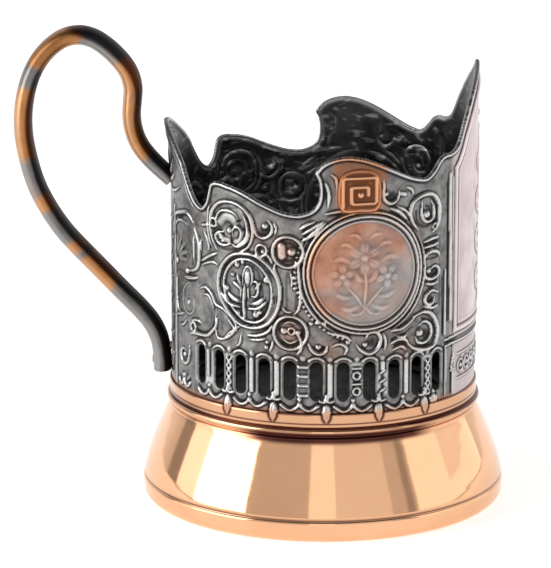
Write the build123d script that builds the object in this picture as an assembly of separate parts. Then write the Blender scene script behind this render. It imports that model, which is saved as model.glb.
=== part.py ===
from build123d import *
import math
import os

# A tea-glass holder: a pierced, scalloped sheet-metal sleeve on a flared spun
# foot, with a looped strap handle, applied medallions, crests and a front plaque.
# Millimetres. Origin at the centre of the foot's resting face, +Z up.
# The handle points along -X, the front plaque along +X, the medallions along +-Y.

# ---------------------------------------------------------------- dimensions
R_IN = 34.0            # bore that takes a 66-67 mm tea glass
WALL = 0.8             # sleeve sheet
R_OUT = R_IN + WALL
LIP_R = 27.0           # inner edge of the sleeve's in-turned bottom lip
LIP_T = 0.8

Z_FLANGE = 22.5        # top of the foot's flange
FLANGE_T = 1.0
FLANGE_R = 28.0
FLOOR_T = 1.0          # floor plate between flange and lip
FLOOR_R = 34.7
Z_LIP0 = Z_FLANGE + FLOOR_T
Z_LIP1 = Z_LIP0 + LIP_T     # the glass stands here

FOOT_T = 1.0           # spun sheet of the foot
FOOT_OUT = [(35.3, 22.0), (35.68, 21.1), (36.28, 19.8), (37.17, 17.8), (38.06, 15.8), (38.95, 13.8),
            (39.84, 11.8), (40.5, 10.2), (40.93, 8.8), (41.17, 7.4), (41.25, 6.2), (41.25, 5.1)]
LIP_BAND_R = 41.5      # upright band at the foot's lower edge
LIP_BAND_Z = 4.7
HEM_R = 38.7           # inner side of the folded hem
HEM_Z = 3.6

COLLAR_IN = R_OUT + 0.02
COLLAR_TOP = 28.1

SLOT_W = 3.1
SLOT_Z0, SLOT_Z1 = 30.85, 40.0
SLOT_FIRST, SLOT_PITCH, SLOT_COUNT = 43.2, 9.84, 11
SLOT_RISE = 0.1        # each slot stands this much higher than its neighbour towards the front

HANDLE_T = 4.2         # strap thickness, in the plane of the loop
HANDLE_W = 8.0         # strap width, across it
HANDLE_EASE = 1.3      # rounding of the strap's long edges
TENON_Y, TENON_Z0, TENON_Z1 = 5.0, 73.6, 76.4
PAD_Z0 = 29.1
RIVET_R = 0.9
RIVET_Z = (31.2, 34.4)

MEDAL_PHI, MEDAL_Z, MEDAL_R, MEDAL_T = 74.5, 60.0, 13.1, 0.8
CREST_PHI, CREST_T = 76.8, 0.8
PLAQUE_T = 0.7
FLOOR_RIVET_R, FLOOR_RIVET_PCR = 1.2, 31.0

# Rim height against angle from the front, the same on both sides.
RIM_FRONT = [(0, 102.0), (3, 100.9), (6, 99.8), (10, 98.3), (15, 96.3), (20, 93.5), (25, 90.0),
             (28, 87.2), (31, 85.0), (35, 84.0), (39, 83.9), (42, 83.2), (45, 81.3)]
RIM_CREST = [(45, 81.3), (47.5, 80.1), (50, 79.6), (55, 80.2), (60, 81.4), (65, 82.8), (70, 84.2),
             (75, 85.3), (79, 85.8), (82, 85.9), (86, 85.5), (90, 84.4), (93, 82.4)]
RIM_HOOK = [(93, 82.4), (91.7, 80.9), (91.2, 79.0), (91.3, 77.0), (92.2, 75.3), (94, 74.1), (97, 73.3),
            (100, 73.0), (105, 73.4), (110, 74.4), (115, 75.6), (120, 76.9), (125, 77.8), (128, 78.1)]
RIM_LEAF = [(128, 78.1), (131, 78.4), (134, 78.3), (136, 77.7)]
RIM_BACK = [(136, 77.7), (136.8, 76.0), (138, 73.7), (140, 72.2), (142, 71.9), (145, 72.7), (148, 74.4),
            (152, 77.4), (155, 79.9), (158, 81.6), (161, 82.9), (165, 84.4), (170, 86.0), (175, 87.1),
            (180, 87.6)]

# Centre line of the handle in the X-Z plane, from the upper joint to the lower end.
HANDLE_LINE = [(-34.6, 73.7), (-36.77, 75.73), (-39.04, 77.99), (-40.96, 80.25), (-42.4, 82.8),
               (-43.31, 85.84), (-43.56, 88.78), (-43.34, 91.73), (-43.2, 94.67), (-43.91, 97.7),
               (-45.39, 100.23), (-47.34, 102.46), (-49.74, 104.56), (-52.26, 106.05), (-55.07, 106.7),
               (-58.12, 106.22), (-60.67, 104.79), (-62.85, 102.81), (-64.77, 100.28), (-66.11, 97.64),
               (-67.06, 94.83), (-67.76, 91.71), (-68.12, 88.77), (-68.19, 85.8), (-67.98, 82.84),
               (-67.46, 79.68), (-66.8, 76.78), (-65.99, 73.92), (-64.86, 70.93), (-63.54, 68.27),
               (-62.06, 65.69), (-60.3, 63.01), (-58.5, 60.66), (-56.52, 58.43), (-54.32, 56.1),
               (-52.26, 53.96), (-50.21, 51.8), (-48.01, 49.46), (-45.95, 47.31), (-43.87, 45.18),
               (-41.81, 43.04), (-39.8, 40.57), (-38.32, 38.02), (-37.4, 35.23), (-36.99, 32.07),
               (-36.9, 29.1)]

os.makedirs("parts", exist_ok=True)


# ------------------------------------------------------------------- helpers
def revolved(profile_face):
    return revolve(profile_face, axis=Axis.Z)


def ring_face(points):
    """Closed polygon in the X-Z plane, for a body of revolution."""
    return make_face(Polyline(*[(r, 0, z) for r, z in points], close=True))


def at_angle(shape, phi):
    return Rot(0, 0, phi) * shape


def shell(r0, r1, z0, z1):
    h = z1 - z0
    return Pos(0, 0, z0) * (Cylinder(r1, h, align=(Align.CENTER, Align.CENTER, Align.MIN))
                            - Cylinder(r0, h, align=(Align.CENTER, Align.CENTER, Align.MIN)))


def radial_prism(outline, x0=20.0, x1=50.0):
    """Prism along +X over an outline given as (sideways, z) points."""
    face = make_face(Polyline(*[(x0, s, z) for s, z in outline], close=True))
    return extrude(face, amount=x1 - x0, dir=(1, 0, 0))


def spline3(points):
    return Spline(*[Vector(*p) for p in points])


def save(shape, name):
    shape.label = name
    export_step(shape, f"parts/{name}.step")
    print(f"{name}: {len(shape.solids())} solid(s), {shape.volume:.1f} mm3")


# -------------------------------------------------------------------- sleeve
wall = shell(R_IN, R_OUT, Z_LIP0, 104.0) + shell(LIP_R, R_IN + 0.2, Z_LIP0, Z_LIP1)
TOP = 125.0


def yz(phi, z, side):
    return (0.0, side * R_OUT * math.sin(math.radians(phi)), z)


def xz(phi, z):
    return (R_OUT * math.cos(math.radians(phi)), 0.0, z)


# Above the front peak: cut along X.
left = [yz(p, z, -1) for p, z in reversed(RIM_FRONT)]
right = [yz(p, z, 1) for p, z in RIM_FRONT]
y_end = right[-1][1]
front_face = make_face([spline3(left), spline3(right),
                        Polyline(right[-1], (0, y_end, TOP), (0, -y_end, TOP), left[0])])
x_front = R_OUT * math.cos(math.radians(RIM_FRONT[-1][0]))
front_cut = extrude(Pos(x_front, 0, 0) * front_face, amount=20, dir=(1, 0, 0))

# Above the sides: cut along Y, both sides at once.
side_a = [xz(p, z) for p, z in RIM_CREST]
side_b = [xz(p, z) for p, z in RIM_HOOK]
side_face = make_face([spline3(side_a), spline3(side_b),
                       Polyline(side_b[-1], (side_b[-1][0], 0, TOP), (side_a[0][0], 0, TOP), side_a[0])])
side_cut = extrude(side_face, amount=45, dir=(0, 1, 0), both=True)

# Above the handle: cut along -X.
leaf_r = [yz(p, z, 1) for p, z in RIM_LEAF]
back_r = [yz(p, z, 1) for p, z in RIM_BACK]
leaf_l = [yz(p, z, -1) for p, z in reversed(RIM_LEAF)]
back_l = [yz(p, z, -1) for p, z in reversed(RIM_BACK)]
back_edge = spline3(back_r[:-1] + [(0, 0, RIM_BACK[-1][1])] + back_l[1:])
back_face = make_face([spline3(leaf_r), back_edge, spline3(leaf_l),
                       Polyline(leaf_l[-1], (0, leaf_l[-1][1], TOP), (0, leaf_r[0][1], TOP), leaf_r[0])])
x_back = R_OUT * math.cos(math.radians(RIM_LEAF[0][0]))
back_cut = extrude(Pos(x_back, 0, 0) * back_face, amount=30, dir=(-1, 0, 0))

sleeve = wall - front_cut - side_cut - back_cut

# Pierced slots, eleven a side.
slot = Pos(R_OUT, 0, (SLOT_Z0 + SLOT_Z1) / 2) * (
    extrude(Plane.YZ * Rot(0, 0, 90) * SlotOverall(SLOT_Z1 - SLOT_Z0, SLOT_W), amount=4, both=True))
for side in (-1, 1):
    for i in range(SLOT_COUNT):
        lift = SLOT_RISE * (i - (SLOT_COUNT - 1) / 2)
        sleeve -= at_angle(Pos(0, 0, lift) * slot, side * (SLOT_FIRST + i * SLOT_PITCH))

# Window for the handle's tenon, and holes for the rivets of its lower end.
tenon = Pos(-R_OUT - 0.6, 0, (TENON_Z0 + TENON_Z1) / 2) * Box(
    2 * (0.6 + WALL), TENON_Y, TENON_Z1 - TENON_Z0)
sleeve -= tenon
rivet_shank = Rot(0, -90, 0) * Cylinder(RIVET_R, 10, align=(Align.CENTER, Align.CENTER, Align.MIN))
for z in RIVET_Z:
    sleeve -= Pos(-R_IN + 1, 0, z) * rivet_shank

# Countersunk holes in the bottom lip.
floor_hole = Cylinder(FLOOR_RIVET_R, 10)
sink = Pos(0, 0, Z_LIP0) * Cone(FLOOR_RIVET_R, FLOOR_RIVET_R + LIP_T, LIP_T,
                               align=(Align.CENTER, Align.CENTER, Align.MIN))
rivet_spots = [at_angle(Pos(FLOOR_RIVET_PCR, 0, 0), 45 + 90 * i) for i in range(4)]
for spot in rivet_spots:
    sleeve -= spot * (Pos(0, 0, Z_LIP0) * floor_hole)
    sleeve -= spot * sink
save(sleeve, "sleeve")

# ---------------------------------------------------------------------- foot
outer = FOOT_OUT
inner = []
for i, (r, z) in enumerate(outer):
    r0, z0 = outer[max(i - 1, 0)]
    r1, z1 = outer[min(i + 1, len(outer) - 1)]
    d = math.hypot(r1 - r0, z1 - z0)
    inner.append((r - FOOT_T * (z0 - z1) / d, z - FOOT_T * (r1 - r0) / d))
inner[0] = (outer[0][0] - FOOT_T, Z_FLANGE - FLANGE_T)
bottom_in = (LIP_BAND_R - FOOT_T - 0.15, HEM_Z)
foot_edges = [
    Polyline((FLANGE_R, 0, Z_FLANGE - FLANGE_T), (FLANGE_R, 0, Z_FLANGE),
             (outer[0][0] - 0.4, 0, Z_FLANGE), (outer[0][0], 0, outer[0][1])),
    spline3([(r, 0, z) for r, z in outer]),
    Polyline((outer[-1][0], 0, outer[-1][1]), (LIP_BAND_R, 0, LIP_BAND_Z), (LIP_BAND_R, 0, 1.1),
             (LIP_BAND_R - 0.35, 0, 0.35), (LIP_BAND_R - 1.1, 0, 0), (HEM_R + 0.5, 0, 0),
             (HEM_R, 0, 0.5), (HEM_R, 0, HEM_Z), (bottom_in[0], 0, bottom_in[1]),
             (inner[-1][0], 0, inner[-1][1])),
    spline3([(r, 0, z) for r, z in reversed(inner)]),
    Polyline((inner[0][0], 0, inner[0][1]), (FLANGE_R, 0, Z_FLANGE - FLANGE_T)),
]
foot = revolved(make_face(foot_edges))
for spot in rivet_spots:
    foot -= spot * (Pos(0, 0, Z_FLANGE) * floor_hole)
save(foot, "foot")

# ---------------------------------------------------------------- floor plate
floor_plate = Pos(0, 0, Z_FLANGE) * Cylinder(FLOOR_R, FLOOR_T, align=(Align.CENTER, Align.CENTER, Align.MIN))
for spot in rivet_spots:
    floor_plate -= spot * (Pos(0, 0, Z_FLANGE) * floor_hole)
save(floor_plate, "floor_plate")

# --------------------------------------------------------------- floor rivets
head_z = Z_FLANGE - FLANGE_T
one_rivet = revolved(ring_face([
    (0, head_z - 0.9), (1.0, head_z - 0.85), (1.7, head_z - 0.6), (2.2, head_z),
    (FLOOR_RIVET_R, head_z), (FLOOR_RIVET_R, Z_LIP0), (FLOOR_RIVET_R + LIP_T, Z_LIP1), (0, Z_LIP1)]))
save(Compound([spot * one_rivet for spot in rivet_spots]), "floor_rivets")

# ---------------------------------------------------------------- collar ring
collar = revolved(make_face([
    Polyline((35.15, 0, 24.9), (35.05, 0, 25.0), (35.05, 0, 25.2), (35.3, 0, 25.4), (35.3, 0, 27.7),
             (35.1, 0, COLLAR_TOP), (COLLAR_IN, 0, COLLAR_TOP), (COLLAR_IN, 0, Z_FLANGE),
             (35.1, 0, Z_FLANGE), (35.1, 0, 23.25), (35.15, 0, 23.3)),
    ThreePointArc((35.15, 0, 23.3), (35.95, 0, 24.1), (35.15, 0, 24.9)),
]))
save(collar, "collar_ring")

# --------------------------------------------------------------------- handle
n_line = len(HANDLE_LINE)
left_side, right_side = [], []
for i, (x, z) in enumerate(HANDLE_LINE):
    x0, z0 = HANDLE_LINE[max(i - 1, 0)]
    x1, z1 = HANDLE_LINE[min(i + 1, n_line - 1)]
    d = math.hypot(x1 - x0, z1 - z0)
    nx, nz = (z1 - z0) / d, -(x1 - x0) / d
    left_side.append((x + nx * HANDLE_T / 2, 0, z + nz * HANDLE_T / 2))
    right_side.append((x - nx * HANDLE_T / 2, 0, z - nz * HANDLE_T / 2))
strap_face = make_face([
    spline3(left_side), Line(left_side[-1], right_side[-1]),
    spline3(list(reversed(right_side))), Line(right_side[0], left_side[0]),
])
strap = extrude(strap_face, amount=HANDLE_W / 2, dir=(0, 1, 0), both=True)
long_edges = [e for e in strap.edges() if e.length > 50]
strap = fillet(long_edges, HANDLE_EASE)
strap -= Cylinder(R_OUT, 130, align=(Align.CENTER, Align.CENTER, Align.MIN))
handle = strap + (tenon - Cylinder(R_IN, 130, align=(Align.CENTER, Align.CENTER, Align.MIN)))
for z in RIVET_Z:
    handle -= Pos(-R_IN + 1, 0, z) * rivet_shank
save(handle, "handle")

# -------------------------------------------------------------- handle rivets
pad_face = HANDLE_LINE[-1][0] - HANDLE_T / 2
rivets = []
for z in RIVET_Z:
    length = -pad_face - R_IN + 0.25
    body = Pos(-R_IN, 0, z) * (Rot(0, -90, 0) * Cylinder(
        RIVET_R, length, align=(Align.CENTER, Align.CENTER, Align.MIN)))
    rivets.append(body)
save(Compound(rivets), "handle_rivets")

# ----------------------------------------------------------------- medallions
medal_shell = shell(R_OUT, R_OUT + MEDAL_T, 40, 95)
medal_prism = Pos(R_OUT, 0, MEDAL_Z) * (Rot(0, 90, 0) * Cylinder(MEDAL_R, 30))
medal = medal_shell & medal_prism
save(at_angle(medal, -MEDAL_PHI), "medallion_right")
save(at_angle(medal, MEDAL_PHI), "medallion_left")

# --------------------------------------------------------------------- crests
crest_outline = [(-3.2, 73.7), (3.2, 73.7), (4.4, 74.6), (4.9, 76.4), (4.7, 80.2), (3.9, 82.0),
                 (2.4, 82.9), (0, 83.3), (-2.4, 82.9), (-3.9, 82.0), (-4.7, 80.2), (-4.9, 76.4), (-4.4, 74.6)]
crest = shell(R_OUT, R_OUT + CREST_T, 70, 90) & radial_prism(crest_outline)
save(at_angle(crest, -CREST_PHI), "crest_right")
save(at_angle(crest, CREST_PHI), "crest_left")

# --------------------------------------------------------------- front plaque
plaque_half = [(33.5, 42.6), (33.5, 80.6), (31.0, 82.0), (28.0, 84.3), (25.0, 87.2), (20.0, 90.6),
               (15.0, 93.4), (10.0, 95.4), (5.0, 97.0), (0.0, 98.6)]
right_edge = [(R_OUT * math.sin(math.radians(p)), z) for p, z in plaque_half]
plaque_outline = right_edge + [(-s, z) for s, z in reversed(right_edge[:-1])]
plaque = shell(R_OUT, R_OUT + PLAQUE_T, 35, 105) & radial_prism(plaque_outline)
save(plaque, "front_plaque")
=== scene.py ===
import math

import bpy
import numpy as np
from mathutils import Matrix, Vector


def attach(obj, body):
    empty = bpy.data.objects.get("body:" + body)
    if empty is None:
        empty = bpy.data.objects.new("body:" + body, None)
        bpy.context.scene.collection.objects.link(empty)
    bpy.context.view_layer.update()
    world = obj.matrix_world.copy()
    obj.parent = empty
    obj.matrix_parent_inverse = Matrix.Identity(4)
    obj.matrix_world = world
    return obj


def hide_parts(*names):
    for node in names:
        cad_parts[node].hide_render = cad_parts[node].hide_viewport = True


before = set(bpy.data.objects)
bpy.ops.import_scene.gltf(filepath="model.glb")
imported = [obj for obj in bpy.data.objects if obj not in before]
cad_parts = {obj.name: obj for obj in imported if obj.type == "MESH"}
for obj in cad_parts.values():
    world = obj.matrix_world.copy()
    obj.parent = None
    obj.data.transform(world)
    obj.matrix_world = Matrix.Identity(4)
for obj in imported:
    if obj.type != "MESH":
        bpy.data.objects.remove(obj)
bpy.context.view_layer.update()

# A tea-glass holder: stamped silver-grey sleeve with scroll relief, copper foot,
# collar, medallions and crests, and a patinated copper strap handle.
# Geometry is worked out in millimetres and scaled to metres at the end.
MM = 0.001
STEP = 0.21      # relief grid of the sleeve, mm
FINE = 0.17      # relief grid of the applied plates, mm

R_OUT, R_IN = 34.8, 34.0
Z_LIP0, Z_LIP1 = 23.5, 24.3
DEG = math.pi / 180.0
PER_DEG = R_OUT * DEG                    # mm of developed wall per degree


# ============================================================ curves, in the plane
def smooth(points, per=10, closed=False):
    """A dense Catmull-Rom line through the points."""
    p = np.asarray(points, float)
    n = len(p)
    if n < 3:
        t = np.linspace(0, 1, per + 1)[:, None]
        return p[0] * (1 - t) + p[1] * t
    out = []
    spans = n if closed else n - 1
    for i in range(spans):
        if closed:
            a, b, c, d = p[(i - 1) % n], p[i], p[(i + 1) % n], p[(i + 2) % n]
        else:
            b, c = p[i], p[i + 1]
            a = p[i - 1] if i else 2 * b - c
            d = p[i + 2] if i + 2 < n else 2 * c - b
        t = np.linspace(0, 1, per, endpoint=False)[:, None]
        out.append(0.5 * (2 * b + (c - a) * t + (2 * a - 5 * b + 4 * c - d) * t ** 2
                          + (3 * b - a - 3 * c + d) * t ** 3))
    if not closed:
        out.append(p[-1:])
    return np.vstack(out)


def arc(cx, cy, r, a0, a1, r1=None, ry=None, tilt=0.0):
    """Arc or spiral from angle a0 to a1 in degrees; ry gives an ellipse."""
    n = max(8, int(abs(a1 - a0) / 8) + 1)
    a = np.linspace(a0, a1, n) * DEG
    k = np.linspace(0, 1, n)
    ra = r + ((r1 if r1 is not None else r) - r) * k
    x = ra * np.cos(a)
    y = (ra * (ry / r) if ry else ra) * np.sin(a)
    ct, st = math.cos(tilt * DEG), math.sin(tilt * DEG)
    return np.stack([cx + x * ct - y * st, cy + x * st + y * ct], 1)


def polar(p):
    """(angle in degrees, z) points to the developed plane."""
    q = np.asarray(p, float).reshape(-1, 2)
    return np.stack([q[:, 0] * PER_DEG, q[:, 1]], 1)


# ================================================================== relief canvas
class Canvas:
    """Heights on a regular grid in the developed plane, in mm."""

    def __init__(self, s0, s1, v0, v1, step):
        self.ns = int(round((s1 - s0) / step)) + 1
        self.nv = int(round((v1 - v0) / step)) + 1
        self.s = np.linspace(s0, s1, self.ns)
        self.v = np.linspace(v0, v1, self.nv)
        self.ds = self.s[1] - self.s[0]
        self.dv = self.v[1] - self.v[0]
        self.h = np.zeros((self.nv, self.ns))

    def grid(self):
        return np.meshgrid(self.s, self.v)

    def window(self, lo, hi):
        i0 = max(0, int((lo[0] - self.s[0]) / self.ds))
        i1 = min(self.ns, int((hi[0] - self.s[0]) / self.ds) + 2)
        j0 = max(0, int((lo[1] - self.v[0]) / self.dv))
        j1 = min(self.nv, int((hi[1] - self.v[0]) / self.dv) + 2)
        return slice(j0, j1), slice(i0, i1)

    def distance(self, pts, reach, width=None):
        """Least distance to a line within reach, and the line's half-width there."""
        best = np.full((self.nv, self.ns), np.inf)
        wide = np.zeros((self.nv, self.ns)) if width is not None else None
        for k in range(len(pts) - 1):
            a, b = pts[k], pts[k + 1]
            win = self.window(np.minimum(a, b) - reach, np.maximum(a, b) + reach)
            if win[0].start >= win[0].stop or win[1].start >= win[1].stop:
                continue
            x = self.s[win[1]][None, :] - a[0]
            y = self.v[win[0]][:, None] - a[1]
            d = b - a
            q = float(d @ d)
            t = np.clip((x * d[0] + y * d[1]) / q, 0, 1) if q > 1e-12 else np.zeros(np.broadcast(x, y).shape)
            dist = np.hypot(x - t * d[0], y - t * d[1])
            if width is None:
                best[win] = np.minimum(best[win], dist)
            else:
                w = width[k] + t * (width[k + 1] - width[k])
                ratio = dist / np.maximum(w, 1e-6)
                nearer = ratio < best[win]
                best[win] = np.where(nearer, ratio, best[win])
                wide[win] = np.where(nearer, w, wide[win])
        return best if width is None else (best, wide)

    def stroke(self, pts, w, h, kind="round", taper=None, add=False):
        """Raised line of half-width w and height h; taper scales w along the line."""
        pts = np.asarray(pts, float)
        n = len(pts)
        t = np.linspace(0, 1, n)
        if taper is None:
            k = np.ones(n)
        else:
            k = np.interp(t, np.linspace(0, 1, len(taper)), taper)
        ww = w * k
        ratio, wide = self.distance(pts, w * k.max() * 1.05, ww)
        inside = ratio < 1
        x = np.where(inside, ratio, 1)
        if kind == "round":
            rise = np.sqrt(np.clip(1 - x * x, 0, 1)) ** 1.3
        elif kind == "ridge":
            rise = 1 - x
        elif kind == "flat":
            rise = np.clip((1 - x) / 0.35, 0, 1)
            rise = rise * rise * (3 - 2 * rise)
        else:
            rise = (1 - x * x) ** 2
        top = h * rise * np.clip(np.where(inside, wide / max(w, 1e-6), 0), 0, 1) ** 0.5
        if add:
            self.h += np.where(inside, top, 0)
        else:
            self.h = np.where(inside, np.maximum(self.h, top), self.h)

    def ring(self, cx, cy, r, w, h, ry=None, tilt=0, kind="round"):
        self.stroke(arc(cx, cy, r, 0, 360, ry=ry, tilt=tilt), w, h, kind)

    def ball(self, cx, cy, r, h):
        win = self.window((cx - r, cy - r), (cx + r, cy + r))
        x = self.s[win[1]][None, :] - cx
        y = self.v[win[0]][:, None] - cy
        q = 1 - (x * x + y * y) / (r * r)
        top = np.where(q > 0, h * np.sqrt(np.clip(q, 0, 1)), 0)
        self.h[win] = np.maximum(self.h[win], top)

    def dish(self, pts, depth, edge=0.8):
        """Sinks the inside of a closed outline."""
        inside = within(self, pts)
        d = self.distance(np.vstack([pts, pts[:1]]), edge * 1.2)
        k = np.clip(np.where(np.isfinite(d), d, edge) / edge, 0, 1)
        self.h = np.where(inside, self.h - depth * k * k * (3 - 2 * k), self.h)

    def leaf(self, pts, w, h, vein=True):
        """A pointed leaf along a line, with a sunk middle vein."""
        pts = smooth(pts, 8)
        self.stroke(pts, w, h, "soft", taper=[0.15, 0.75, 1.0, 0.85, 0.12])
        if vein:
            keep = self.h.copy()
            ratio, wide = self.distance(pts[2:-2], w * 0.3, np.full(len(pts) - 4, w * 0.22))
            cut = np.where(ratio < 1, (1 - ratio) * h * 0.55, 0)
            self.h = keep - cut

    def volute(self, cx, cy, r, a0, turn, w=0.55, h=0.55, end=0.28, ball=0.9):
        """A scroll that winds in from radius r, starting at angle a0, with a ball at its eye."""
        line = arc(cx, cy, r, a0, a0 + turn, r1=r * end)
        self.stroke(line, w, h, taper=[1.0, 1.0, 0.95, 0.85])
        if ball:
            self.ball(line[-1][0], line[-1][1], ball, h * 1.25)
        return line


def within(canvas, poly):
    """Even-odd test of the whole grid against a closed polygon."""
    poly = np.asarray(poly, float)
    s, v = canvas.s, canvas.v
    odd = np.zeros((canvas.nv, canvas.ns), bool)
    a = poly
    b = np.roll(poly, -1, axis=0)
    for (x0, y0), (x1, y1) in zip(a, b):
        if y0 == y1:
            continue
        lo, hi = min(y0, y1), max(y0, y1)
        rows = np.nonzero((v >= lo) & (v < hi))[0]
        if not len(rows):
            continue
        cross = x0 + (v[rows] - y0) * (x1 - x0) / (y1 - y0)
        odd[rows] ^= s[None, :] < cross[:, None]
    return odd


def blur(a, sigma, periodic=False):
    """Gaussian blur by sigma in cells; rows are not wrapped, columns may be."""
    n = max(1, int(3 * sigma + 0.5))
    k = np.exp(-0.5 * (np.arange(-n, n + 1) / sigma) ** 2)
    k /= k.sum()
    p = np.pad(a, ((n, n), (0, 0)), mode="edge")
    out = sum(k[i] * p[i:i + a.shape[0]] for i in range(2 * n + 1))
    p = np.pad(out, ((0, 0), (n, n)), mode="wrap" if periodic else "edge")
    return sum(k[i] * p[:, i:i + a.shape[1]] for i in range(2 * n + 1))


def step01(x, lo, hi):
    t = np.clip((x - lo) / (hi - lo), 0, 1)
    return t * t * (3 - 2 * t)


# ===================================================================== mesh builder
def make_mesh(name, verts_mm, faces, attrs=None, uv=None, smooth_faces=True):
    """faces is a list of integer arrays, each (count, corners)."""
    me = bpy.data.meshes.new(name)
    loops = np.concatenate([f.reshape(-1) for f in faces]).astype(np.int32)
    counts = np.concatenate([np.full(len(f), f.shape[1], np.int32) for f in faces])
    starts = np.concatenate([[0], np.cumsum(counts)[:-1]]).astype(np.int32)
    me.vertices.add(len(verts_mm))
    me.loops.add(len(loops))
    me.polygons.add(len(counts))
    me.vertices.foreach_set("co", (np.asarray(verts_mm, np.float64) * MM).astype(np.float32).ravel())
    me.loops.foreach_set("vertex_index", loops)
    me.polygons.foreach_set("loop_start", starts)
    me.update(calc_edges=True)
    me.polygons.foreach_set("use_smooth", np.full(len(counts), smooth_faces))
    for key, val in (attrs or {}).items():
        layer = me.attributes.new(key, "FLOAT", "POINT")
        layer.data.foreach_set("value", np.asarray(val, np.float32))
    if uv is not None:
        layer = me.uv_layers.new(name="OFBake")
        layer.uv.foreach_set("vector", np.asarray(uv, np.float32).ravel())
    me.validate(clean_customdata=False)
    ob = bpy.data.objects.new(name, me)
    bpy.context.scene.collection.objects.link(ob)
    return ob


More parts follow.
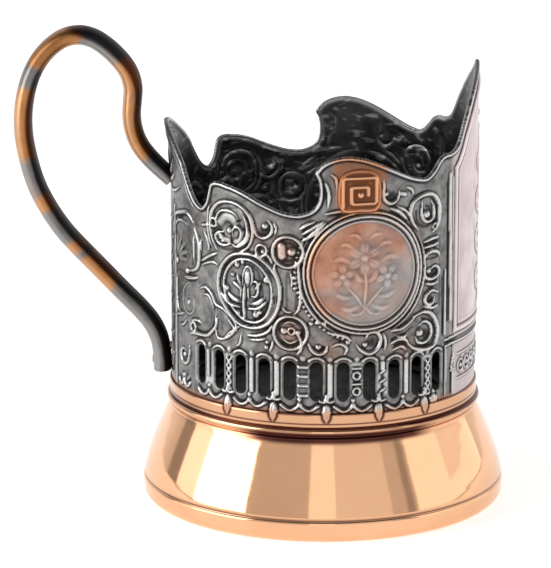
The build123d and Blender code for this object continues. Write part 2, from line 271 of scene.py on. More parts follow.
def relief_shell(name, s, v, f, r_out, r_in, attrs, period=None, mirror=False, bulge=0.18, rings=3,
                 uv_scale=None, place=None):
    """A closed shell on a cylinder: outer and inner radius on a grid (rows v, columns s),
    trimmed where f < 0, with a rounded edge all round. s is arc length at R_OUT."""
    nv, ns = f.shape
    step = min(s[1] - s[0], v[1] - v[0])
    S, V = np.meshgrid(s, v)
    f = f.copy()
    if period:
        gs = (np.roll(f, -1, 1) - np.roll(f, 1, 1)) / (2 * (s[1] - s[0]))
    else:
        gs = np.gradient(f, s, axis=1)
    gv = np.gradient(f, v, axis=0)
    gl = np.maximum(np.hypot(gs, gv), 1e-6)
    near = np.abs(f) < 0.38 * step
    S = np.where(near, S - f * gs / gl ** 2, S)
    V = np.where(near, V - f * gv / gl ** 2, V)
    f[near] = 0.0
    inside = f >= 0
    cols = ns if period else ns - 1
    idx = np.arange(nv * ns).reshape(nv, ns)
    a = idx[:-1, :cols]
    b = np.roll(idx, -1, 1)[:-1, :cols]
    c = np.roll(idx, -1, 1)[1:, :cols]
    d = idx[1:, :cols]
    flat_in, flat_f = inside.ravel(), f.ravel()
    quads = np.stack([a, b, c, d], -1).reshape(-1, 4)
    q_in = flat_in[quads]
    full = q_in.all(1)
    some = q_in.any(1) & ~full
    pos = flat_f[quads] > 0
    full &= pos.any(1)
    fields = {"S": S.ravel(), "V": V.ravel(), "ro": r_out.ravel(), "ri": r_in.ravel(),
              "gs": (gs / gl).ravel(), "gv": (gv / gl).ravel()}
    fields.update({k: x.ravel() for k, x in attrs.items()})
    added = {k: [] for k in fields}
    cut_of, polys = {}, []
    base = nv * ns
    for quad in quads[some]:
        ring = []
        for k in range(4):
            p, q = int(quad[k]), int(quad[(k + 1) % 4])
            fp, fq = flat_f[p], flat_f[q]
            if fp >= 0:
                ring.append(p)
            if (fp > 0 and fq < 0) or (fp < 0 and fq > 0):
                key = (min(p, q), max(p, q))
                if key not in cut_of:
                    lo, hi = key
                    t = flat_f[lo] / (flat_f[lo] - flat_f[hi])
                    cut_of[key] = base + len(added["S"])
                    for name_, arr in fields.items():
                        x0, x1 = arr[lo], arr[hi]
                        if name_ == "S" and period:
                            if x1 - x0 > period / 2:
                                x1 -= period
                            elif x0 - x1 > period / 2:
                                x0 -= period
                        added[name_].append(x0 + t * (x1 - x0))
                ring.append(cut_of[key])
        if len(ring) >= 3 and any(i >= base or flat_f[i] > 0 for i in ring):
            polys.append(ring)
    allf = {k: np.concatenate([arr, np.array(added[k])]) if added[k] else arr for k, arr in fields.items()}
    groups = {4: [quads[full]]}
    for ring in polys:
        groups.setdefault(len(ring), []).append(np.array([ring]))
    faces = [np.vstack(g) for g in groups.values() if len(g)]
    used = np.unique(np.concatenate([g.ravel() for g in faces]))
    remap = np.full(len(allf["S"]), -1)
    remap[used] = np.arange(len(used))
    faces = [remap[g] for g in faces]
    data = {k: arr[used] for k, arr in allf.items()}
    n = len(used)
    # open edges of the outer skin
    e0 = np.concatenate([g.ravel() for g in faces])
    e1 = np.concatenate([np.roll(g, -1, 1).ravel() for g in faces])
    code = e0.astype(np.int64) * n + e1
    back = e1.astype(np.int64) * n + e0
    free = ~np.isin(code, back)
    ea, eb = e0[free], e1[free]
    rim = np.unique(np.concatenate([ea, eb]))
    place_of = np.full(n, -1)
    place_of[rim] = np.arange(len(rim))
    m = len(rim)
    # vertices: outer, inner, then rings of the edge from outer to inner
    ang = data["S"] / R_OUT
    def xyz(r, S_, V_):
        t = S_ / R_OUT
        return np.stack([r * np.cos(t), r * np.sin(t), V_], 1)
    outer = xyz(data["ro"], data["S"], data["V"])
    inner = xyz(data["ri"], data["S"], data["V"])
    blocks = [outer, inner]
    on_end = (data["V"][rim] <= v[0] + 1e-6) | (data["V"][rim] >= v[-1] - 1e-6)
    if not period:
        on_end |= (data["S"][rim] <= s[0] + 1e-6) | (data["S"][rim] >= s[-1] - 1e-6)
    push = np.where(on_end, 0.0, bulge)
    for k in range(1, rings + 1):
        t = k / (rings + 1)
        o = push * math.sin(math.pi * t) ** 0.7
        r = data["ro"][rim] + (data["ri"][rim] - data["ro"][rim]) * t
        blocks.append(xyz(r, data["S"][rim] - o * data["gs"][rim], data["V"][rim] - o * data["gv"][rim]))
    verts = np.vstack(blocks)
    chain = [lambda i: i] + [(lambda k: (lambda i: 2 * n + (k - 1) * m + place_of[i]))(k) for k in range(1, rings + 1)] \
        + [lambda i: i + n]
    edge_faces = []
    for k in range(rings + 1):
        edge_faces.append(np.stack([chain[k](eb), chain[k](ea), chain[k + 1](ea), chain[k + 1](eb)], 1))
    inner_faces = [g[:, ::-1] + n for g in faces]
    all_faces = faces + inner_faces + edge_faces
    vattrs = {}
    for key in attrs:
        x = data[key]
        vattrs[key] = np.concatenate([x, x] + [x[rim]] * rings)
    vattrs["inside"] = np.concatenate([np.zeros(n), np.ones(n)] + [np.full(m, k / (rings + 1.0)) for k in range(1, rings + 1)])
    vattrs["edge"] = np.concatenate([np.zeros(2 * n), np.ones(rings * m)])
    # bake map: outer skin below, inner skin above, edge strips laid out beyond the outline
    width = (s[-1] - s[0]) + (s[1] - s[0]) + 4
    high = (v[-1] - v[0]) + 4
    scale = 1.0 / max(width, 2 * high)
    su, vv = data["S"] - s[0] + 2, data["V"] - v[0] + 2
    def flat(g, dy):
        x, y = su[g], vv[g]
        if period:
            x = np.where((x.max(1) - x.min(1) > period / 2)[:, None] & (x < period / 2), x + period, x)
        return np.stack([x, y + dy], -1).reshape(-1, 2)
    uvs = [flat(g, 0) for g in faces] + [flat(g[:, ::-1] - 0, high)[:, :] if False else
                                         flat((g[:, ::-1]), high) for g in faces]
    gsr, gvr = data["gs"], data["gv"]
    gs_ = np.where(np.isin(np.arange(n), rim[on_end]), 0, gsr)
    gv_ = np.where(np.isin(np.arange(n), rim[on_end]), 1, gvr)
    strip = 0.26
    for k in range(rings + 1):
        quad = []
        for who, lev in ((eb, k), (ea, k), (ea, k + 1), (eb, k + 1)):
            quad.append(np.stack([su[who] - gs_[who] * strip * lev, vv[who] - gv_[who] * strip * lev], -1))
        q = np.stack(quad, 1)
        if period:
            x = q[..., 0]
            x = np.where((x.max(1) - x.min(1) > period / 2)[:, None] & (x < period / 2), x + period, x)
            q[..., 0] = x
        uvs.append(q.reshape(-1, 2))
    uv = np.vstack(uvs) * scale
    if mirror:
        verts[:, 1] *= -1
        uv_blocks, at, flipped = [], 0, []
        for g in all_faces:
            count = g.size
            block = uv[at:at + count].reshape(len(g), g.shape[1], 2)[:, ::-1]
            uv_blocks.append(block.reshape(-1, 2))
            flipped.append(g[:, ::-1])
            at += count
        uv, all_faces = np.vstack(uv_blocks), flipped
    if place is not None:
        verts = place(verts)
    return make_mesh(name, verts, all_faces, vattrs, uv)


def revolve(name, profile, count, attrs=None, wobble=None):
    """Closed profile of (r, z) points, going round so that the outside faces out."""
    p = np.asarray(profile, float)
    n = len(p)
    t = np.arange(count) * 2 * math.pi / count
    ring = np.stack([p[:, 0][:, None] * np.cos(t), p[:, 0][:, None] * np.sin(t),
                     np.repeat(p[:, 1][:, None], count, 1)], -1)
    if wobble is not None:
        ring = wobble(ring, p, t)
    verts = ring.reshape(-1, 3)
    i, j = np.meshgrid(np.arange(count), np.arange(n))
    i2, j2 = (i + 1) % count, (j + 1) % n
    quads = np.stack([j * count + i, j * count + i2, j2 * count + i2, j2 * count + i], -1).reshape(-1, 4)
    lens = np.r_[0, np.cumsum(np.hypot(*(np.roll(p, -1, 0) - p).T))]
    total = max(lens[-1], 1e-6)
    uv = np.empty((len(quads), 4, 2))
    ii, jj = i.ravel(), j.ravel()
    uv[:, 0] = np.stack([ii / count, lens[jj] / total], 1)
    uv[:, 1] = np.stack([(ii + 1) / count, lens[jj] / total], 1)
    uv[:, 2] = np.stack([(ii + 1) / count, lens[jj + 1] / total], 1)
    uv[:, 3] = np.stack([ii / count, lens[jj + 1] / total], 1)
    va = {k: np.repeat(np.asarray(x, float), count) if np.ndim(x) == 1 else np.asarray(x, float).ravel() for k, x in (attrs or {}).items()}
    return make_mesh(name, verts, [quads], va, uv.reshape(-1, 2) * 0.98 + 0.01)


# ========================================================================== the rim
RIM_FRONT = [(0, 101.2), (3, 100.3), (6, 99.4), (10, 98.1), (15, 96.2), (20, 93.5), (25, 90.0),
             (28, 87.2), (31, 85.0), (35, 84.0), (39, 83.9), (42, 83.2), (45, 81.3)]
RIM_CREST = [(45, 81.3), (47.5, 80.1), (50, 79.6), (55, 80.2), (60, 81.4), (65, 82.8), (70, 84.2),
             (75, 85.3), (79, 85.8), (82, 85.9), (86, 85.5), (90, 84.4), (93, 82.4)]
RIM_HOOK = [(93, 82.4), (91.7, 80.9), (91.2, 79.0), (91.3, 77.0), (92.2, 75.3), (94, 74.1), (97, 73.3),
            (100, 73.0), (105, 73.4), (110, 74.4), (115, 75.6), (120, 76.9), (125, 77.8), (128, 78.1),
            (131, 78.4), (134, 78.3), (136, 77.7)]
RIM_BACK = [(136, 77.7), (136.8, 76.0), (138, 73.7), (140, 72.2), (142, 71.9), (145, 72.7), (148, 74.4),
            (152, 77.4), (155, 79.9), (158, 81.6), (161, 82.9), (165, 84.4), (170, 86.0), (175, 87.1),
            (180, 87.6)]


def half_line(points):
    return smooth([(-p * PER_DEG, z) for p, z in points], 8)


rim_line = np.vstack([half_line(RIM_FRONT + RIM_CREST[1:])[:-1], half_line(RIM_HOOK)[:-1], half_line(RIM_BACK)])
SLOT_PHI = [43.2 + 9.84 * i for i in range(11)]


def rise(phi):
    """The slots and the lace under them climb a little towards the handle."""
    return 0.1 * ((abs(phi) - 43.2) / 9.84 - 5.0)

# ================================================================ relief of the sleeve
LEFT, RIGHT = -180 * PER_DEG, 0.0
half_n = int(round(-LEFT / STEP))
cv = Canvas(LEFT, RIGHT, Z_LIP0, 103.0, -LEFT / half_n)
S, V = cv.grid()


def line(points, w=0.5, h=0.45, kind="round", taper=None, per=8):
    cv.stroke(smooth(polar(points), per), w, h, kind, taper)


def at(phi, z):
    return phi * PER_DEG, z


def scroll(phi, z, r, a0, turn, **kw):
    x, y = at(phi, z)
    return cv.volute(x, y, r, a0, turn, **kw)


def ball(phi, z, r, h=0.55):
    x, y = at(phi, z)
    cv.ball(x, y, r, h)


def ring(phi, z, r, w=0.45, h=0.45, **kw):
    x, y = at(phi, z)
    cv.ring(x, y, r, w, h, **kw)


# distances that shape the wall
rim_poly = np.vstack([rim_line, [[LEFT - 2, rim_line[-1][1]], [LEFT - 2, 0], [2, 0], [2, rim_line[0][1]]]])
below = within(cv, rim_poly)
rim_dist = cv.distance(rim_line, 200.0)
f_rim = np.where(below, rim_dist, -rim_dist)
f_slot = np.full_like(f_rim, 1e3)
for p in SLOT_PHI:
    x = S + p * PER_DEG
    v = V - rise(p)
    y = v - np.clip(v, 30.85 + 1.55, 40.0 - 1.55)
    f_slot = np.minimum(f_slot, np.hypot(x, y) - 1.55)
f_wall = np.minimum(f_rim, f_slot)

MEDAL_PHI, MEDAL_Z, MEDAL_R = -74.5, 60.0, 13.1
MX, MY = at(MEDAL_PHI, MEDAL_Z)
dark = Canvas(LEFT, RIGHT, Z_LIP0, 103.0, -LEFT / half_n)     # where patina gathers, 0 to 1


# two working sheets of the developed wall, 20 units to the millimetre
def sheet_a(x, y):
    return (-168 + x / 12.12) * PER_DEG, 80 - y / 20.0


def sheet_b(x, y):
    return (-100 + x / 12.12) * PER_DEG, 86 - y / 20.0


def draw(sheet, points, w=0.34, h=0.46, taper=(0.45, 1, 1, 1, 0.45), kind="round"):
    bold = 1.3 if sheet is sheet_b else 1.1
    cv.stroke(smooth([sheet(*q) for q in points], 8), w * bold, h * (0.5 + 0.5 * bold), kind, taper)


def spot(sheet, x, y, r, h=0.55):
    cv.ball(*sheet(x, y), r, h)


def ink(sheet, points, w=0.4, amount=0.9):
    dark.stroke(smooth([sheet(*q) for q in points], 6), w, amount, "soft")


def ink_spot(sheet, x, y, r, amount=0.9):
    dark.ball(*sheet(x, y), r, amount)


def loop(sheet, x, y, r, w=0.34, h=0.5):
    cv.ring(*sheet(x, y), r, w, h)


# --- flower scroll, upper left
A, B = sheet_a, sheet_b
draw(A, [(432, 334), (405, 292), (391, 230), (401, 165), (440, 122), (500, 106), (560, 117), (604, 153), (623, 205),
         (622, 256), (600, 302), (556, 328)], 0.38, 0.55)
draw(A, [(566, 150), (590, 188), (596, 235), (580, 274), (545, 298)], 0.26, 0.36)
cv.stroke(smooth([A(452, 205), A(480, 178), A(515, 180), A(535, 200)], 8), 1.9, 0.2, "soft")
cv.stroke(smooth([A(445, 262), A(470, 280), A(500, 285)], 8), 1.3, 0.18, "soft")
cv.stroke(smooth([A(535, 285), A(560, 270), A(572, 240)], 8), 1.2, 0.18, "soft")
draw(A, [(474, 246), (440, 254), (424, 272), (442, 300), (478, 307), (514, 294)], 0.28, 0.48)
draw(A, [(516, 298), (548, 305), (590, 280), (604, 242), (592, 212)], 0.28, 0.48)
draw(A, [(520, 262), (522, 232), (540, 216), (562, 226), (566, 252), (552, 282), (536, 292)], 0.24, 0.42)
draw(A, [(440, 236), (426, 200), (446, 160), (490, 148), (532, 158), (552, 184)], 0.24, 0.38)
for pts in ([(450, 262), (468, 268)], [(446, 274), (466, 280)], [(456, 290), (474, 290)]):
    draw(A, pts, 0.18, 0.42)
spot(A, 503, 236, 0.7, 0.46)
ink(A, [(524, 222), (546, 208), (566, 214)], 0.36, 0.95)
ink(A, [(580, 216), (592, 246), (580, 276)], 0.5, 0.9)
loop(A, 411, 213, 0.95, 0.26, 0.52)
ink(A, [(420, 180), (416, 250), (430, 312), (480, 326), (540, 318)], 0.55, 0.8)
ink(A, [(528, 204), (548, 190), (565, 184)], 0.4, 0.9)
ink(A, [(512, 250), (516, 292)], 0.4, 0.9)
ink(A, [(470, 140), (540, 132)], 0.4, 0.5)

draw(A, [(384, 106), (378, 150), (372, 200), (374, 250), (386, 300), (404, 330)], 0.26, 0.36)
ink(A, [(392, 120), (388, 165)], 0.3, 0.8)

# --- curls between the flower and the medallion
draw(A, [(612, 150), (624, 176), (630, 206), (646, 240), (680, 251), (711, 230), (717, 196), (701, 174)], 0.34, 0.5)
spot(A, 683, 196, 0.75, 0.62)
ink_spot(A, 678, 220, 1.35)
loop(A, 666, 308, 1.3, 0.28, 0.46)
spot(A, 673, 312, 0.52, 0.5)
ink_spot(A, 656, 306, 0.75)
draw(A, [(690, 322), (708, 342), (716, 366)], 0.28, 0.4)
draw(A, [(726, 180), (736, 205), (730, 232)], 0.28, 0.4)
loop(A, 788, 306, 3.45, 0.4, 0.56)
cv.stroke([A(760, 285), A(762, 325)], 1.5, 0.34, "soft")
dark.stroke(arc(*A(790, 306), 2.05, -115, 110), 0.95, 0.95, "soft")
spot(A, 806, 305, 0.98, 0.8)
draw(A, [(735, 352), (728, 385), (742, 420), (756, 470), (760, 525)], 0.28, 0.4)
draw(A, [(838, 372), (842, 430), (846, 500), (838, 560), (818, 588)], 0.3, 0.42)
draw(A, [(800, 392), (806, 430), (804, 480)], 0.24, 0.34)
spot(A, 820, 420, 0.5, 0.48)
spot(A, 820, 446, 0.42, 0.42)
spot(A, 818, 470, 0.36, 0.38)
ink(A, [(786, 400), (782, 470), (784, 560)], 0.5, 0.55)
ink(A, [(826, 500), (822, 560)], 0.4, 0.7)
draw(A, [(764, 560), (780, 575), (806, 580)], 0.26, 0.36)
loop(A, 800, 671, 3.75, 0.38, 0.54)
spot(A, 771, 664, 0.8, 0.5)
loop(A, 806, 664, 0.72, 0.24, 0.4)
spot(A, 836, 668, 0.6, 0.46)
draw(A, [(764, 700), (800, 718), (838, 700)], 0.24, 0.34)
draw(A, [(770, 632), (800, 622), (834, 634)], 0.22, 0.3)
dark.stroke(arc(*A(800, 671), 2.7, 0, 360), 0.55, 0.75, "soft")
ink_spot(A, 806, 664, 0.7)

# --- oval cartouche with a bell flower
oval = smooth([A(*q) for q in [(597, 330), (520, 345), (462, 400), (440, 470), (452, 540), (500, 605), (565, 655), (640, 662),
                               (700, 635), (740, 575), (752, 500), (740, 430), (700, 375), (650, 340)]], 6, closed=True)
inner_oval = smooth([A(*q) for q in [(597, 356), (538, 368), (490, 415), (472, 475), (484, 535), (524, 588), (578, 630), (636, 638),
                                     (682, 612), (708, 560), (716, 500), (706, 445), (676, 400), (638, 368)]], 6, closed=True)
oval = np.vstack([oval, oval[:1]])
inner_oval = np.vstack([inner_oval, inner_oval[:1]])
cv.dish(inner_oval[:-1], 0.2, 0.8)
floor_in = within(dark, inner_oval)
edge_in = dark.distance(inner_oval, 6.0)
dark.h = np.where(floor_in, np.maximum(dark.h, 0.22 * step01(np.where(np.isfinite(edge_in), edge_in, 6.0), 0.1, 0.7)), dark.h)
ink(A, [(484, 400), (478, 470), (490, 535), (510, 575)], 0.8, 0.95)
ink(A, [(482, 598), (528, 636), (570, 656), (620, 650)], 0.75, 1.0)
ink(A, [(640, 620), (670, 606), (690, 570)], 0.7, 0.95)
ink(A, [(626, 384), (650, 410), (664, 450)], 0.6, 0.8)
ink(A, [(668, 470), (672, 520), (664, 560)], 0.7, 0.7)
cv.stroke(smooth([A(*q) for q in [(690, 392), (728, 440), (736, 505), (722, 575), (690, 625), (640, 650)]], 8), 0.9, 0.14, "flat",
          (0.5, 1, 1, 1, 0.5))
ink(A, [(728, 508), (728, 544)], 0.22, 0.8)
ink(A, [(740, 508), (740, 544)], 0.22, 0.8)
ink(A, [(764, 470), (766, 545)], 0.3, 0.9)
cv.stroke(oval, 0.4, 0.62)
cv.stroke(inner_oval, 0.3, 0.44)
cv.leaf([A(598, 482), A(598, 440), A(602, 396)], 1.1, 0.45)
draw(A, [(574, 474), (576, 432), (589, 396), (605, 387), (619, 405), (623, 446), (613, 474)], 0.24, 0.5)
draw(A, [(622, 456), (645, 454), (652, 488), (641, 520), (618, 522)], 0.26, 0.48)
cv.leaf([A(575, 502), A(546, 480), A(514, 464)], 0.62, 0.48)
cv.leaf([A(570, 484), A(552, 452), A(546, 424)], 0.52, 0.44)
cv.leaf([A(628, 500), A(650, 470), A(668, 446)], 0.5, 0.42)
draw(A, [(584, 470), (580, 560), (584, 634)], 0.34, 0.46)
draw(A, [(564, 482), (562, 540)], 0.22, 0.36)
draw(A, [(602, 482), (604, 540)], 0.22, 0.36)
draw(A, [(452, 518), (498, 564), (560, 578)], 0.34, 0.52)
cv.leaf([A(476, 506), A(522, 540), A(572, 556)], 0.8, 0.42)
draw(A, [(602, 579), (652, 572), (690, 540)], 0.34, 0.52)
cv.leaf([A(604, 560), A(650, 548), A(688, 514)], 0.75, 0.42)
for x, y, r in ((545, 386, 0.62), (488, 497, 0.72), (690, 440, 0.75), (550, 605, 0.58), (640, 602, 0.8), (522, 432, 0.5),
                (660, 590, 0.5), (574, 372, 0.4)):
    spot(A, x, y, r, 0.58)

# --- lines round the oval
draw(A, [(326, 406), (362, 384), (400, 364), (430, 352)], 0.32, 0.44)
draw(A, [(326, 424), (372, 404), (412, 396), (440, 408)], 0.26, 0.36)
draw(A, [(318, 532), (360, 519), (400, 545), (424, 584), (468, 598)], 0.34, 0.46)
draw(A, [(336, 556), (372, 552), (398, 580), (410, 620)], 0.26, 0.36)
ink(A, [(350, 538), (388, 560), (412, 600)], 0.4, 0.8)
draw(A, [(424, 592), (476, 606), (540, 664), (504, 718), (446, 740), (424, 704), (424, 592)], 0.27, 0.4)
draw(A, [(492, 640), (545, 692)], 0.25, 0.4)
draw(A, [(562, 664), (520, 690), (478, 724)], 0.25, 0.4)
draw(A, [(598, 702), (650, 696), (695, 676), (718, 644)], 0.33, 0.46)
draw(A, [(606, 720), (650, 716), (690, 706)], 0.26, 0.38)
draw(A, [(566, 700), (560, 740), (540, 760)], 0.28, 0.4)
ink(A, [(604, 710), (660, 706), (704, 682)], 0.3, 0.9)
ink(A, [(456, 660), (462, 700)], 0.4, 0.6)
spot(A, 690, 746, 0.5, 0.45)
spot(A, 694, 722, 0.42, 0.42)
draw(A, [(704, 764), (716, 740), (722, 712)], 0.26, 0.36)

# --- C-scrolls by the handle
draw(A, [(52, 262), (90, 233), (150, 216), (200, 206), (238, 216), (264, 244)], 0.4, 0.5)
ink(A, [(104, 246), (160, 234), (205, 226), (246, 250)], 0.5, 0.85)
draw(A, [(70, 290), (110, 262), (160, 254), (210, 262)], 0.28, 0.36)
draw(A, [(322, 240), (356, 234), (390, 228)], 0.3, 0.42)
draw(A, [(268, 262), (290, 285), (310, 318), (313, 362), (312, 405), (298, 440), (266, 460), (214, 473)], 0.4, 0.52)
draw(A, [(266, 300), (270, 360), (268, 428)], 0.26, 0.38)
ink(A, [(291, 326), (292, 380), (284, 430)], 0.4, 0.9)
ink(A, [(250, 376), (250, 440)], 0.45, 0.8)
ink(A, [(250, 474), (180, 486), (98, 494)], 0.35, 0.85)
draw(A, [(184, 509), (240, 501), (296, 490)], 0.36, 0.46)
ink(A, [(178, 494), (250, 487)], 0.28, 0.8)
spot(A, 214, 473, 0.7, 0.55)
draw(A, [(96, 510), (88, 560), (92, 620), (110, 670), (160, 690)], 0.3, 0.4)
ink(A, [(108, 540), (104, 600), (120, 650)], 0.4, 0.6)
draw(A, [(318, 532), (262, 520), (204, 536), (168, 576), (162, 626), (190, 664), (236, 668), (266, 640), (262, 600), (232, 586),
         (208, 602)], 0.3, 0.2)
spot(A, 220, 618, 0.75, 0.26)
cv.leaf([A(170, 596), A(138, 634), A(126, 688)], 0.7, 0.2)
cv.leaf([A(176, 556), A(140, 548), A(116, 572)], 0.6, 0.2)
for mid, tip in (((96, 376), (104, 306)), ((122, 372), (160, 304)), ((150, 382), (214, 330)), ((164, 404), (240, 378)),
                 ((160, 430), (234, 430))):
    cv.leaf([A(94, 448), A(*mid), A(*tip)], 0.85, 0.28)
spot(A, 96, 450, 0.75, 0.42)
draw(A, [(222, 806), (228, 850), (214, 894), (180, 910), (150, 896), (144, 862), (164, 842), (188, 852)], 0.32, 0.44)
spot(A, 180, 868, 0.6, 0.42)
ink(A, [(204, 820), (206, 860), (190, 888)], 0.35, 0.8)
for mid, tip in (((160, 972), (134, 950)), ((186, 966), (186, 934)), ((212, 972), (238, 950))):
    cv.leaf([A(186, 1000), A(*mid), A(*tip)], 0.7, 0.26)
draw(A, [(244, 694), (300, 684), (326, 692)], 0.32, 0.42)
ink(A, [(266, 708), (312, 705)], 0.35, 0.9)
draw(A, [(232, 760), (262, 751), (302, 746), (365, 740), (401, 712), (424, 686), (432, 650)], 0.38, 0.5)
ink(A, [(284, 727), (348, 728), (393, 701), (410, 670)], 0.38, 0.9)
loop(A, 262, 722, 1.0, 0.28, 0.42)
draw(A, [(60, 706), (120, 694), (176, 676)], 0.3, 0.4)
draw(A, [(120, 742), (170, 730), (206, 700)], 0.28, 0.38)
ink(A, [(204, 716), (214, 760)], 0.4, 0.7)
draw(A, [(324, 300), (326, 360)], 0.24, 0.32)
draw(A, [(340, 262), (366, 290), (380, 330), (372, 352)], 0.26, 0.36)
line([(-161.6, 28.5), (-161.6, 44.0), (-162.4, 58.0), (-163.4, 70.0)], 0.3, 0.34)
line([(-164.0, 28.5), (-164.0, 44.0), (-164.6, 58.0), (-165.4, 71.0)], 0.2, 0.24)
# --- a vine up the wall on each side of the handle
line([(-169.2 + 1.3 * math.sin((z - 31.5) / 9.0 * 2 * math.pi), z) for z in np.arange(31.5, 70.6, 1.5)], 0.26, 0.3,
     taper=(1, 1, 1, 0.5))
for k in range(8):
    sgn = 1 if k % 2 == 0 else -1
    vx, vz = at(-169.2, 33.0 + 4.5 * k)
    cv.leaf([(vx + 0.5 * sgn, vz), (vx - 0.5 * sgn, vz + 1.5), (vx - 1.6 * sgn, vz + 3.1)], 0.75, 0.32)
    cv.ball(vx + 1.45 * sgn, vz + 1.9, 0.36, 0.34)

# --- second frame round the medallion, husks and rope beads
for a0, a1 in ((150, 250), (294, 392)):
    cv.stroke(arc(MX, MY, 14.9, a0, a1), 0.3, 0.42, taper=[0.3, 1, 1, 0.3])
cv.ring(MX, MY, 13.75, 0.3, 0.5)
dark.stroke(arc(MX, MY, 13.3, 0, 360), 0.3, 0.9, "soft")
dark.stroke(arc(MX, MY, 14.25, 0, 360), 0.42, 0.8, "soft")
for a in np.arange(150, 252, 4.2):
    cv.ball(MX + 15.65 * math.cos(a * DEG), MY + 15.65 * math.sin(a * DEG), 0.36, 0.34)
for x, y in ((68, 746), (97, 741), (126, 746)):
    spot(B, x, y, 0.5, 0.5)
for pts in ([(28, 373), (65, 352), (102, 329)], [(56, 351), (95, 322), (132, 290)], [(30, 344), (78, 312), (122, 284)],
            [(18, 322), (50, 300), (84, 286)]):
    draw(B, pts, 0.3, 0.44)
ink(B, [(40, 362), (100, 318), (128, 300)], 0.45, 0.85)
ink(B, [(34, 334), (80, 302)], 0.35, 0.85)

# --- round the crest
draw(B, [(128, 252), (190, 239), (280, 236), (332, 250), (392, 263)], 0.32, 0.42)
ink(B, [(140, 264), (220, 252), (300, 254)], 0.4, 0.8)
draw(B, [(100, 96), (132, 122), (146, 172), (140, 226)], 0.3, 0.36)
draw(B, [(150, 72), (176, 96), (182, 150), (180, 214)], 0.3, 0.34)
draw(B, [(390, 110), (392, 140), (386, 168), (394, 198), (421, 217), (456, 201), (467, 164)], 0.34, 0.48)
ink_spot(B, 430, 186, 1.3)
spot(B, 404, 172, 0.5, 0.5)
cv.stroke([B(478, 178), B(496, 184)], 0.8, 0.3, "soft")
draw(B, [(424, 238), (470, 262), (506, 296)], 0.36, 0.46)
draw(B, [(455, 232), (500, 258), (524, 290)], 0.26, 0.38)
ink(B, [(440, 258), (486, 290)], 0.35, 0.8)
draw(B, [(500, 150), (530, 165), (540, 190)], 0.26, 0.34)

# --- right column: two volutes and a garland between them
draw(B, [(566, 353), (535, 311), (523, 262), (545, 217), (600, 197), (656, 207), (689, 250), (692, 300), (682, 346),
         (652, 374)], 0.4, 0.55)
draw(B, [(588, 222), (584, 270), (592, 306), (620, 323), (653, 306), (656, 262), (640, 230)], 0.3, 0.44)
spot(B, 613, 287, 0.9, 0.72)
ink(B, [(556, 268), (564, 320), (612, 344), (664, 324)], 0.6, 0.9)
ink(B, [(612, 250), (632, 262), (634, 290)], 0.6, 0.9)
loop(B, 668, 352, 0.7, 0.22, 0.36)
draw(B, [(600, 413), (645, 404), (694, 402)], 0.3, 0.42)
draw(B, [(600, 440), (645, 436), (694, 430)], 0.26, 0.38)
ink(B, [(606, 426), (690, 417)], 0.32, 0.9)
draw(B, [(602, 490), (620, 468), (650, 461), (686, 471), (699, 492)], 0.36, 0.48)
ink(B, [(616, 494), (682, 494)], 0.4, 0.9)
draw(B, [(642, 540), (668, 530), (692, 546), (688, 572), (648, 587), (612, 576), (603, 546), (612, 524)], 0.32, 0.46)
spot(B, 629, 547, 0.65, 0.55)
ink_spot(B, 656, 556, 1.1)
draw(B, [(610, 604), (650, 612), (692, 606)], 0.26, 0.36)
draw(B, [(694, 656), (650, 640), (618, 654), (607, 680), (625, 701), (656, 696), (666, 674)], 0.33, 0.47)
ink_spot(B, 640, 674, 1.0)
draw(B, [(600, 706), (650, 720), (694, 714)], 0.28, 0.38)
ink(B, [(700, 400), (704, 560), (702, 720)], 0.3, 0.55)
draw(B, [(545, 743), (600, 731), (651, 750), (683, 800), (685, 852), (660, 893), (605, 904), (550, 891), (520, 868)], 0.4, 0.55)
draw(B, [(555, 838), (572, 867), (615, 869), (646, 840), (640, 795), (605, 774), (574, 788)], 0.3, 0.44)
spot(B, 578, 822, 0.9, 0.72)
ink_spot(B, 610, 832, 1.3)
ink(B, [(590, 756), (650, 790), (660, 850), (620, 885)], 0.5, 0.85)
draw(B, [(428, 794), (480, 790), (522, 768), (562, 736)], 0.3, 0.42)
draw(B, [(428, 854), (460, 838), (500, 842), (522, 870)], 0.3, 0.42)
draw(B, [(436, 884), (478, 870), (508, 890)], 0.28, 0.4)
cv.leaf([B(440, 815), B(485, 830), B(520, 820)], 0.55, 0.42)
ink(B, [(434, 834), (500, 812), (540, 790)], 0.45, 0.85)
ink(B, [(450, 862), (500, 860)], 0.4, 0.8)

# --- curls under the medallion
draw(B, [(268, 846), (290, 873), (330, 889), (369, 864), (379, 820), (355, 791), (324, 795), (311, 818)], 0.36, 0.5)
ink_spot(B, 338, 838, 1.35)
spot(B, 308, 846, 0.6, 0.5)
draw(B, [(56, 836), (72, 868), (102, 885), (133, 872), (139, 846)], 0.33, 0.47)
spot(B, 100, 852, 0.66, 0.52)
ink_spot(B, 118, 858, 0.8)
draw(B, [(146, 790), (190, 796), (220, 806), (246, 826)], 0.3, 0.4)
spot(B, 230, 832, 0.5, 0.45)
draw(B, [(160, 850), (196, 838), (226, 860), (214, 890)], 0.28, 0.38)
draw(B, [(392, 800), (404, 840), (398, 880)], 0.26, 0.36)
draw(B, [(0, 790), (22, 820), (24, 862), (6, 890)], 0.28, 0.4)
ink(B, [(160, 812), (210, 824)], 0.4, 0.6)

